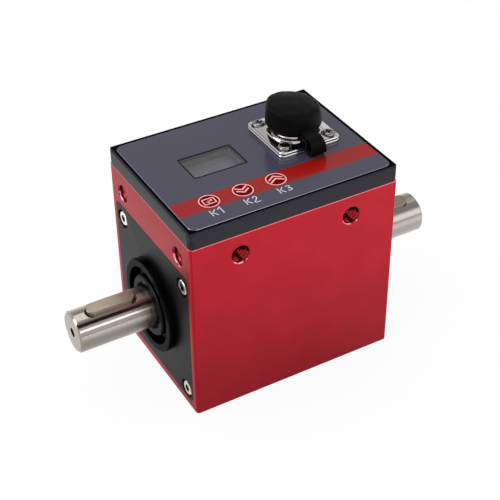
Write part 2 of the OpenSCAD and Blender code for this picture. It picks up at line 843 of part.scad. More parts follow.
// Copper winding in the groove of a stator ring
module stator_winding(side) {
    color(copper)
        at_side(side)
            ring_x_axis(2 * (stator_in_r + winding_depth - seat_gap), 2 * (stator_in_r + winding_sink),
                        ring_x - winding_w / 2 + lay_gap, ring_x + winding_w / 2 - lay_gap);
}
module power_stator_winding() stator_winding(-1);
module signal_stator_winding() stator_winding(1);

// Sleeved wires that rise from a stator ring to the circuit board
module stator_lead(side) {
    color([0.75, 0.72, 0.66])
        translate([side * ring_x, 0, 0])
            bar_z(lead_d, axis_z + rotor_bore_d / 2 + lay_gap, board_z - lay_gap);
}
module power_lead() stator_lead(-1);
module signal_lead() stator_lead(1);

module circuit_board() {
    color(board_green)
        difference() {
            slab(board_l, board_w, board_r, board_z, board_top_z);
            for (p = board_holes)
                translate([p[0], p[1], 0])
                    bar_z(small_d + 2 * hole_gap, board_z - over, board_top_z + over);
        }
}
board_r = 1.5;

// Hexagon standoffs with a stud below and a threaded hole above
module board_standoffs() {
    color(brass)
        for (p = board_holes)
            translate([p[0], p[1], 0])
                difference() {
                    union() {
                        translate([0, 0, floor_z])
                            cylinder(d = standoff_w / cos(30), h = standoff_h, $fn = 6);
                        bar_z(small_d, floor_z - standoff_stud + over / 2, floor_z + over);
                    }
                    bar_z(small_d + 2 * thread_gap, board_z - standoff_bore, board_z + over);
                }
}
standoff_bore = 3.5;

// Pan head screw with a cross recess, standing on z, with its thread below
module pan_screw(z, thread_l) {
    difference() {
        union() {
            translate([0, 0, z])
                rotate_extrude($fn = small)
                    polygon(concat([[0, 0], [small_head_d / 2, 0]],
                        [for (i = [0:pan_steps])
                            let (t = 90 * i / pan_steps)
                            [small_head_d / 2 - pan_r * (1 - cos(t)), small_head_h - pan_r + pan_r * sin(t)]],
                        [[0, small_head_h]]));
            bar_z(small_d, z - thread_l, z + small_head_h / 2);
        }
        for (a = [0, 90])
            translate([0, 0, z + small_head_h])
                rotate([0, 0, a])
                    cube([small_head_d * cross_share, cross_w, 2 * cross_depth], center = true);
    }
}
pan_r = 0.9;
pan_steps = 6;
cross_share = 0.56;
cross_w = 0.7;
cross_depth = 0.9;

module board_screws() {
    color(nickel)
        for (p = board_holes)
            translate([p[0], p[1], 0])
                pan_screw(board_top_z, board_t + standoff_bore - over / 2);
}

// Places of the three keys
function switch_at(i) = [switch_x + i * switch_pitch, switch_y];

// Bodies of the three key switches, hollow round their plungers
module key_switches() {
    color(black)
        for (i = [0:2])
            translate([switch_at(i)[0], switch_at(i)[1], board_top_z])
                difference() {
                    translate([-switch_w / 2, -switch_w / 2, 0])
                        cube([switch_w, switch_w, switch_h]);
                    translate([0, 0, switch_floor])
                        cylinder(d = plunger_foot_d + 2 * guide_gap,
                                 h = switch_h - switch_floor - switch_roof, $fn = small);
                    translate([0, 0, switch_floor])
                        cylinder(d = plunger_d + 2 * guide_gap, h = switch_h, $fn = small);
                }
}
switch_roof = 0.6;
plunger_foot_d = 4.4;
plunger_foot_t = 0.8;
plunger_play = 0.05;
press_spare = 0.2;   // room left under a plunger that is pressed home
switch_floor = switch_h - switch_roof - plunger_play - plunger_foot_t - plunger_travel - press_spare;

// Long plunger that carries a key's press from the label to its switch
module key_plunger(i) {
    foot_top = board_top_z + switch_h - switch_roof - plunger_play;
    color([0.85, 0.85, 0.82])
        translate([switch_at(i)[0], switch_at(i)[1], 0]) {
            bar_z(plunger_foot_d, foot_top - plunger_foot_t, foot_top);
            bar_z(plunger_d, foot_top - plunger_foot_t, label_z - plunger_play);
        }
}
module key_plunger_1() key_plunger(0);
module key_plunger_2() key_plunger(1);
module key_plunger_3() key_plunger(2);

// Display glass on its own small board
module display_module() {
    color([0.45, 0.46, 0.46])
        translate([display_x, display_y, 0]) {
            slab(window_w + 2 * display_edge, window_h + 2 * display_edge, lens_r,
                 glass_z - display_glass_t, glass_z);
            slab(window_w + 2 * display_margin, window_h + 2 * display_margin, lens_r,
                 display_board_z, glass_z - display_glass_t);
        }
}
display_edge = 2.2;
lens_r = 0.6;

// Pin header between the circuit board and the display
module display_header() {
    color(black)
        translate([display_x - header_l / 2,
                   display_y + window_h / 2 + display_margin - header_w, board_top_z])
            cube([header_l, header_w, display_board_z - board_top_z]);
}
header_l = 10.2;
header_w = 2.5;

module lens() {
    color([0.75, 0.78, 0.80, 0.4])
        translate([display_x, display_y, 0])
            slab(window_w + 2 * lens_ledge - 2 * lay_gap, window_h + 2 * lens_ledge - 2 * lay_gap, lens_r,
                 lens_z, label_z);
}

module lid() {
    color(black)
        difference() {
            slab(body_l, body_w, lid_r, lid_z, top_z);
            top_edges(body_l, body_w, top_z, lid_chamfer);
            slab(label_l + 2 * lay_gap, label_w + 2 * lay_gap, label_r, label_z, top_z + over);
            translate([display_x, display_y, 0]) {
                slab(window_w - 2 * lens_shade, window_h - 2 * lens_shade, lens_r, lid_z - over, top_z);
                slab(window_w + 2 * lens_ledge, window_h + 2 * lens_ledge, lens_r, lens_z, top_z);
                slab(window_w + 2 * display_margin + 2 * guide_gap,
                     window_h + 2 * display_margin + 2 * guide_gap,
                     lens_r, lid_z - over, glass_z + guide_gap);
            }
            for (i = [0:2])
                translate([switch_at(i)[0], switch_at(i)[1], 0])
                    bar_z(plunger_d + 2 * guide_gap, lid_z - over, top_z);
            translate([socket_x, socket_y, 0])
                bar_z(tail_d + 2 * hole_gap, lid_z - over, top_z + over);
            at_flange_screws()
                bar_z(small_d + 2 * thread_gap, top_z - small_grip - over / 2, top_z + over);
            for (p = lid_screws_at)
                translate([p[0], p[1], 0]) {
                    bar_z(screw_d + 2 * hole_gap, lid_z - over, top_z);
                    translate([0, 0, label_z - lid_head_h - hole_gap])
                        cylinder(d1 = screw_d, d2 = lid_head_d + 2 * hole_gap, h = lid_head_h + hole_gap,
                                 $fn = small);
                }
        }
}
lens_shade = 0.4;

// Rubber cord laid in the groove of the housing's top face
module lid_seal() {
    color(rubber)
        difference() {
            slab(groove_l - 2 * lay_gap, groove_b - 2 * lay_gap, groove_r - lay_gap,
                 housing_h - groove_depth, housing_h);
            slab(groove_l - 2 * groove_w + 2 * lay_gap, groove_b - 2 * groove_w + 2 * lay_gap,
                 groove_r - groove_w + lay_gap, housing_h - groove_depth - over, housing_h + over);
        }
}

// Countersunk screws that hold the lid, covered by the label
module lid_screws() {
    color(steel)
        for (p = lid_screws_at)
            translate([p[0], p[1], 0])
                difference() {
                    union() {
                        translate([0, 0, label_z - lid_head_h - head_under])
                            cylinder(d1 = screw_d, d2 = lid_head_d, h = lid_head_h, $fn = small);
                        bar_z(screw_d, lid_z - lid_grip, label_z - lid_head_h);
                    }
                    translate([0, 0, label_z - head_under - socket_depth])
                        cylinder(d = lid_socket / cos(30), h = socket_depth + over, $fn = 6);
                }
}
head_under = 0.1;
lid_socket = socket_size * 0.8;   // countersunk heads take the next smaller hexagon key

// Places of the connector screws
module at_flange_screws() {
    for (sx = [-1, 1], sy = [-1, 1])
        translate([socket_x + sx * flange_pitch / 2, socket_y + sy * flange_pitch / 2, 0])
            children();
}

// Printed film in the lid's recess
module label() {
    color([0.31, 0.30, 0.36])
        difference() {
            slab(label_l, label_w, label_r, label_z, top_z);
            translate([display_x, display_y, 0])
                slab(window_w, window_h, lens_r, label_z - over, top_z + over);
            translate([socket_x, socket_y, 0])
                bar_z(tail_d + 2 * hole_gap, label_z - over, top_z + over);
            at_flange_screws()
                bar_z(small_d + 2 * hole_gap, label_z - over, top_z + over);
        }
}

// Square layer of the flange stack with its middle hole; sink sets its outline back all round
module flange_layer(sink, z0, z1, hole) {
    side = flange_w - 2 * sink;
    difference() {
        translate([socket_x, socket_y, 0])
            slab(side, side, flange_corner_r - sink, z0, z1);
        translate([socket_x, socket_y, 0])
            bar_z(hole, z0 - over, z1 + over);
        at_flange_screws()
            bar_z(small_d + 2 * hole_gap, z0 - over, z1 + over);
    }
}

// Flange, threaded neck and tail in one turned and milled piece
module connector_shell() {
    color(nickel)
        difference() {
            union() {
                flange_layer(0, flange_z, flange_top_z, neck_bore_d);
                translate([socket_x, socket_y, 0]) {
                    bar_z(neck_d, flange_z, neck_z);
                    bar_z(neck_d + 2 * collar_out, flange_z, flange_top_z + collar_up);
                    bar_z(tail_d, tail_z, flange_z + over);
                }
            }
            translate([socket_x, socket_y, 0]) {
                bar_z(neck_bore_d, tail_z - over, neck_z + over);
                translate([0, 0, neck_z - neck_edge])
                    cylinder(d1 = neck_bore_d, d2 = neck_bore_d + 2 * neck_edge, h = neck_edge, $fn = small);
            }
            at_flange_screws()
                bar_z(small_head_d + 2 * hole_gap, flange_top_z - flange_seat, flange_top_z + over);
        }
}
collar_out = 1.5;
collar_up = 0.5;
neck_edge = 0.3;

// Black insulating carrier with its contacts
module connector_carrier() {
    z1 = flange_top_z + carrier_h;
    color(black)
        translate([socket_x, socket_y, 0])
            difference() {
                bar_z(neck_bore_d - 2 * seat_gap, z1 - carrier_t, z1);
                at_contacts()
                    bar_z(pin_d + 2 * seat_gap, z1 - carrier_t - over, z1 + over);
            }
}

// Places of the contacts round the connector axis
module at_contacts() {
    for (i = [0:pin_count - 1])
        rotate([0, 0, 90 + 360 * i / pin_count])
            translate([pin_circle_d / 2, 0, 0])
                children();
}

module connector_contacts() {
    z1 = flange_top_z + carrier_h;
    color(brass)
        translate([socket_x, socket_y, 0])
            at_contacts() {
                bar_z(pin_d, z1 - carrier_t - contact_tail, z1 + contact_up - pin_d / 2);
                translate([0, 0, z1 + contact_up - pin_d / 2])
                    sphere(d = pin_d, $fn = small);
            }
}
contact_tail = 3;
contact_below = 1.2;   // distance of the contact tips below the neck's rim
contact_up = neck_h - carrier_h - contact_below;

// Bundle of wires from the contacts down to the circuit board
module connector_leads() {
    color([0.75, 0.72, 0.66])
        translate([socket_x, socket_y, 0])
            bar_z(pin_circle_d + pin_d, board_top_z + lay_gap,
                  flange_top_z + carrier_h - carrier_t - contact_tail - lay_gap);
}

module connector_gasket() {
    color(rubber)
        flange_layer(gasket_sink, gasket_z, flange_z, tail_d + 2 * hole_gap);
}
gasket_sink = 0.3;

module connector_base_plate() {
    color(nickel)
        flange_layer(0, base_plate_z, gasket_z, tail_d + 2 * hole_gap);
}

module connector_screws() {
    seat = flange_top_z - flange_seat;
    color(nickel)
        at_flange_screws()
            pan_screw(seat, seat - top_z + small_grip);
}

// Points on an arc round c, from the angle a0 to the angle a1
function arc(c, r, a0, a1) =
    [for (i = [0:strap_steps])
        let (a = a0 + (a1 - a0) * i / strap_steps)
        c + r * [cos(a), sin(a)]];
strap_steps = 12;

// Edge of the strap's side view, as [distance from the cap's axis, height], at the distance o
// from its middle line. It leaves the ring, loops down to the lid and ends in the cap's side.
function strap_edge(o) =
    let (near = flange_w / 2 + strap_clear + strap_t / 2,
         far = flange_w / 2 + strap_out,
         loop_r = (far - near) / 2,
         ring_z = cap_z - strap_gap - strap_t / 2,
         rest_z = top_z + strap_rest + strap_t / 2,
         side_z = cap_z + strap_t)
    concat([[neck_d / 2 - over, ring_z + o]],
           arc([near - strap_t, ring_z - strap_t], strap_t + o, 90, 0),
           arc([(near + far) / 2, rest_z + loop_r], loop_r - o, 180, 360),
           arc([far - strap_bend, side_z - strap_bend], strap_bend - o, 0, 90),
           [[cap_d / 2 - 2 * strap_t, side_z - o]]);
strap_clear = 0.4;
strap_gap = 0.15;
strap_rest = 0.25;
strap_bend = 3;

// Flat strap that loops over the flange's front edge, from the ring to the cap
module strap() {
    inner = strap_edge(-strap_t / 2);
    translate([strap_shift, 0, 0])
        rotate([90, 0, -90])
            translate([0, 0, -strap_w / 2])
                linear_extrude(strap_w)
                    polygon(concat(strap_edge(strap_t / 2), [for (i = [len(inner) - 1:-1:0]) inner[i]]));
}

// Soft cap over the neck with a domed crown, in one piece with its strap and ring
module dust_cap() {
    color(rubber)
        translate([socket_x, socket_y, 0])
            difference() {
                union() {
                    intersection() {
                        translate([0, 0, cap_z])
                            cylinder(d = cap_d, h = cap_h + over, $fn = fine);
                        rotate([0, 0, cap_lean_turn])
                            translate([cap_lean, 0, cap_top_z - cap_dome_r])
                                sphere(r = cap_dome_r, $fn = fine);
                    }
                    strap();
                    bar_z(neck_d + 2 * cap_gap + 2 * strap_ring_w,
                          cap_z - strap_gap - strap_t, cap_z - strap_gap);
                }
                bar_z(neck_d + 2 * cap_gap, top_z, neck_z + cap_gap);
            }
}
strap_ring_w = 0.7;

housing();
left_end_plate();
right_end_plate();
left_plate_screws();
right_plate_screws();
left_bearing_outer_ring();
right_bearing_outer_ring();
left_bearing_seals();
right_bearing_seals();
left_bearing_inner_ring();
right_bearing_inner_ring();
left_bearing_cage();
right_bearing_cage();
left_bearing_balls();
right_bearing_balls();
shaft();
left_shaft_key();
right_shaft_key();
left_collar();
right_collar();
strain_gauges();
rotor_board();
power_rotor_ring();
power_rotor_winding();
power_stator_ring();
power_stator_winding();
signal_rotor_ring();
signal_rotor_winding();
signal_stator_ring();
signal_stator_winding();
power_lead();
signal_lead();
circuit_board();
board_standoffs();
board_screws();
key_switches();
key_plunger_1();
key_plunger_2();
key_plunger_3();
display_module();
display_header();
lens();
lid();
lid_seal();
lid_screws();
label();
connector_shell();
connector_carrier();
connector_contacts();
connector_leads();
connector_gasket();
connector_base_plate();
connector_screws();
dust_cap();
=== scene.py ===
import bpy
import bmesh
import json
from math import cos, hypot, pi, radians, sin, sqrt
from mathutils import Matrix, Vector, noise


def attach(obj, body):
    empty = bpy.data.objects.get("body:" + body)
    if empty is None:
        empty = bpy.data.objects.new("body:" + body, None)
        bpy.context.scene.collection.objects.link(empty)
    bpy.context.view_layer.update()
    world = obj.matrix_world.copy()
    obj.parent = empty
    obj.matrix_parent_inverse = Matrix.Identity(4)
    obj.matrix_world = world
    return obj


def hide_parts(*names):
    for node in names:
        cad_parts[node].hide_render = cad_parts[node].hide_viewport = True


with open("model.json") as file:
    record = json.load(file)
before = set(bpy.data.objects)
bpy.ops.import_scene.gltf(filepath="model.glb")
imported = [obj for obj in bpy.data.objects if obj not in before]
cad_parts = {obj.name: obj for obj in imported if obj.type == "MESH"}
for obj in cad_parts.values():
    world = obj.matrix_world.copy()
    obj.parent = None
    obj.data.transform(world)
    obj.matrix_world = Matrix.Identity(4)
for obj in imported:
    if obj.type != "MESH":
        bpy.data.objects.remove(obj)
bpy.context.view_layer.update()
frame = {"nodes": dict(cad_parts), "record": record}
scene = bpy.context.scene
scene.view_settings.view_transform = "Standard"
mm = 0.001   # all sizes below are in millimetres
print("frame loaded:", len(frame["nodes"]), "nodes")


# Camera at the photograph's viewing angle
cameraSetup = {"target": (-1.03, 0, 36.97), "azimuth": -29.398, "elevation": 37.031,   # degrees
               "roll": -0.0114,   # radians
               "distance": 439.8, "lens": 88.61, "sensor": 36, "clip": (0.01, 50)}   # clip in metres


def placeCamera(setup):
    azimuth, elevation = radians(setup["azimuth"]), radians(setup["elevation"])
    back = Vector((sin(azimuth) * cos(elevation), -cos(azimuth) * cos(elevation), sin(elevation)))
    right = Vector((cos(azimuth), sin(azimuth), 0))
    up = back.cross(right)
    turn = setup["roll"]
    rolledRight = right * cos(turn) + up * sin(turn)
    rolledUp = up * cos(turn) - right * sin(turn)
    lensData = bpy.data.cameras.new("photoCamera")
    lensData.lens = setup["lens"]
    lensData.sensor_width = setup["sensor"]
    lensData.clip_start, lensData.clip_end = setup["clip"]
    camera = bpy.data.objects.new("photoCamera", lensData)
    place = Matrix((rolledRight, rolledUp, back)).transposed().to_4x4()
    place.translation = (Vector(setup["target"]) + back * setup["distance"]) * mm
    camera.matrix_world = place
    scene.collection.objects.link(camera)
    scene.camera = camera


placeCamera(cameraSetup)
print("camera placed")


def linearColor(hexText):
    parts = [int(hexText[i:i + 2], 16) / 255 for i in (1, 3, 5)]
    return [p / 12.92 if p <= 0.04045 else ((p + 0.055) / 1.055) ** 2.4 for p in parts] + [1]


def freshTree(owner):   # empty node tree of a material or world
    owner.use_nodes = True
    owner.node_tree.nodes.clear()
    return owner.node_tree


def addNode(tree, kind, settings=None, inputs=None):
    node = tree.nodes.new(kind)
    for key, value in (settings or {}).items():
        setattr(node, key, value)
    for key, value in (inputs or {}).items():
        if isinstance(value, bpy.types.NodeSocket):
            tree.links.new(value, node.inputs[key])
        else:
            node.inputs[key].default_value = value
    return node


def mixTones(tree, factor, first, second):
    mix = addNode(tree, "ShaderNodeMix", {"data_type": "RGBA"}, {"Factor": factor, 6: first, 7: second})
    return mix.outputs[2]


# Stage: pale floor, studio sky and four soft lamps
stageLook = {
    "floorSize": 6000, "floorDrop": 0.02, "floorColor": "#F4F4F4", "floorWhite": 0.92, "worldFill": 0.8,
    # shade: painted shade near the object's foot and painted light further out, seen only by mirrors
    "shade": {"middle": (0, -30), "squash": 0.5, "near": 0, "far": 72, "dark": 0.5, "light": 1.34,
              "left": -100, "leftShare": 0.62},
    # tones by height, for the back, the front and the right of the studio
    "backSky": ((0, "#FFFFFF"), (0.3, "#E4E4E6"), (0.6, "#B4B4B8"), (0.9, "#D8D6D4")),
    "frontSky": ((0, "#9A9A9C"), (0.05, "#F0F0F0"), (0.69, "#F4F2F0"), (0.73, "#0E0D0C"), (0.88, "#141312"),
                 (0.93, "#D0CECB")),
    "rightSky": ((0, "#E6E4E9"), (0.05, "#F4F2F7"), (0.5, "#FCFAFF"), (0.75, "#D8D4D4"), (0.93, "#C4C0BE")),
    "frontFrom": (0.1, -0.1), "rightFrom": (0.44, 0.5),   # directions where one sky passes into the next
}
lampLook = {
    "topSoftbox": {"at": (-60, 200, 900), "size": (1100, 700), "power": 2.4},
    "leftSoftbox": {"at": (-850, 150, 420), "size": (600, 600), "power": 2.6},
    "frontStrip": {"at": (150, -738, 418), "size": (400, 150), "power": 0.45},
    "rightSoftbox": {"at": (560, -738, 418), "size": (400, 460), "power": 0.46},
}
lampAim = (0, 0, 40)


def mixPaper(look):   # matt paper sweep that runs out to plain white
    paper = bpy.data.materials.new("studioPaper")
    tree = freshTree(paper)
    rays = addNode(tree, "ShaderNodeLightPath")
    share = addNode(tree, "ShaderNodeMath", {"operation": "MULTIPLY_ADD"},
                    {0: rays.outputs["Is Camera Ray"], 1: look["floorWhite"],
                     2: rays.outputs["Is Glossy Ray"]})
    shade = look["shade"]   # painted shade and light for mirrors: they see the paper darken towards the foot of the front face and grow brighter than white further out
    x, y = shade["middle"]
    coords = addNode(tree, "ShaderNodeTexCoord")
    place = addNode(tree, "ShaderNodeMapping", None, {
        "Vector": coords.outputs["Object"], "Scale": (shade["squash"], 1, 0),
        "Location": (-x * shade["squash"] * mm, -y * mm, 0)})
    away = addNode(tree, "ShaderNodeVectorMath", {"operation": "LENGTH"}, {0: place.outputs[0]})
    tone = addNode(tree, "ShaderNodeMapRange", None, {
        "Value": away.outputs["Value"], "From Min": shade["near"] * mm, "From Max": shade["far"] * mm,
        "To Min": shade["dark"], "To Max": shade["light"]})
    across = addNode(tree, "ShaderNodeSeparateXYZ", None, {0: coords.outputs["Object"]})
    fade = addNode(tree, "ShaderNodeMapRange", None, {   # painted shade also darkens it towards the left
        "Value": across.outputs["X"], "From Min": shade["left"] * mm, "From Max": 0,
        "To Min": shade["leftShare"], "To Max": 1})
    paled = addNode(tree, "ShaderNodeMath", {"operation": "MULTIPLY"},
                    {0: tone.outputs[0], 1: fade.outputs[0]})
    lit = addNode(tree, "ShaderNodeMix", {"data_type": "FLOAT"},
                  {0: rays.outputs["Is Camera Ray"], 2: paled.outputs[0], 3: 1})
    matt = addNode(tree, "ShaderNodeBsdfDiffuse", None, {"Color": linearColor(look["floorColor"])})
    glow = addNode(tree, "ShaderNodeEmission", None, {"Strength": lit.outputs[0]})
    mix = addNode(tree, "ShaderNodeMixShader", None,
                  {0: share.outputs[0], 1: matt.outputs[0], 2: glow.outputs[0]})
    addNode(tree, "ShaderNodeOutputMaterial", None, {"Surface": mix.outputs[0]})
    return paper


def layFloor(look):
    mesh = bmesh.new()
    bmesh.ops.create_grid(mesh, x_segments=2, y_segments=2, size=look["floorSize"] / 2 * mm)
    bmesh.ops.translate(mesh, verts=mesh.verts[:], vec=(0, 0, -look["floorDrop"] * mm))
    data = bpy.data.meshes.new("studioFloor")
    mesh.to_mesh(data)
    mesh.free()
    floor = bpy.data.objects.new("studioFloor", data)
    scene.collection.objects.link(floor)
    data.materials.append(mixPaper(look))


def skyRamp(tree, height, tones):
    ramp = addNode(tree, "ShaderNodeValToRGB", None, {0: height})
    steps = ramp.color_ramp.elements
    while len(steps) < len(tones):
        steps.new(1)
    for step, (place, tone) in zip(steps, tones):
        step.position, step.color = place, linearColor(tone)
    return ramp.outputs[0]


def fadeOver(tree, value, span):
    fade = addNode(tree, "ShaderNodeMapRange", None,
                   {"Value": value, "From Min": span[0], "From Max": span[1]})
    return fade.outputs[0]


def hangSky(look):
    world = bpy.data.worlds.new("studioWorld")
    scene.world = world
    tree = freshTree(world)
    coords = addNode(tree, "ShaderNodeTexCoord")
    parts = addNode(tree, "ShaderNodeSeparateXYZ", None, {0: coords.outputs["Generated"]})
    backSky, frontSky, rightSky = [skyRamp(tree, parts.outputs["Z"], look[key])
                                   for key in ("backSky", "frontSky", "rightSky")]
    toFront = fadeOver(tree, parts.outputs["Y"], look["frontFrom"])
    toRight = fadeOver(tree, parts.outputs["X"], look["rightFrom"])
    studio = mixTones(tree, toFront, backSky, mixTones(tree, toRight, frontSky, rightSky))
    mirrored = addNode(tree, "ShaderNodeBackground", None, {"Color": studio, "Strength": 1})
    rays = addNode(tree, "ShaderNodeLightPath")
    level = addNode(tree, "ShaderNodeMapRange", None,   # the camera sees plain white behind the floor
                    {"Value": rays.outputs["Is Camera Ray"], "To Min": look["worldFill"], "To Max": 1})
    fill = addNode(tree, "ShaderNodeBackground", None, {"Color": (1, 1, 1, 1), "Strength": level.outputs[0]})
    sky = addNode(tree, "ShaderNodeMixShader", None,
                  {0: rays.outputs["Is Glossy Ray"], 1: fill.outputs[0], 2: mirrored.outputs[0]})
    addNode(tree, "ShaderNodeOutputWorld", None, {"Surface": sky.outputs[0]})


def setLamps(lamps, target):
    for name, lamp in lamps.items():
        light = bpy.data.lights.new(name, "AREA")
        light.shape = "RECTANGLE"
        light.size, light.size_y = lamp["size"][0] * mm, lamp["size"][1] * mm
        light.energy = lamp["power"]
        holder = bpy.data.objects.new(name, light)
        holder.location = Vector(lamp["at"]) * mm
        aim = Vector(target) * mm - holder.location
        holder.rotation_euler = aim.to_track_quat("-Z", "Y").to_euler()
        scene.collection.objects.link(holder)


layFloor(stageLook)
hangSky(stageLook)
setLamps(lampLook, lampAim)
print("stage lit")


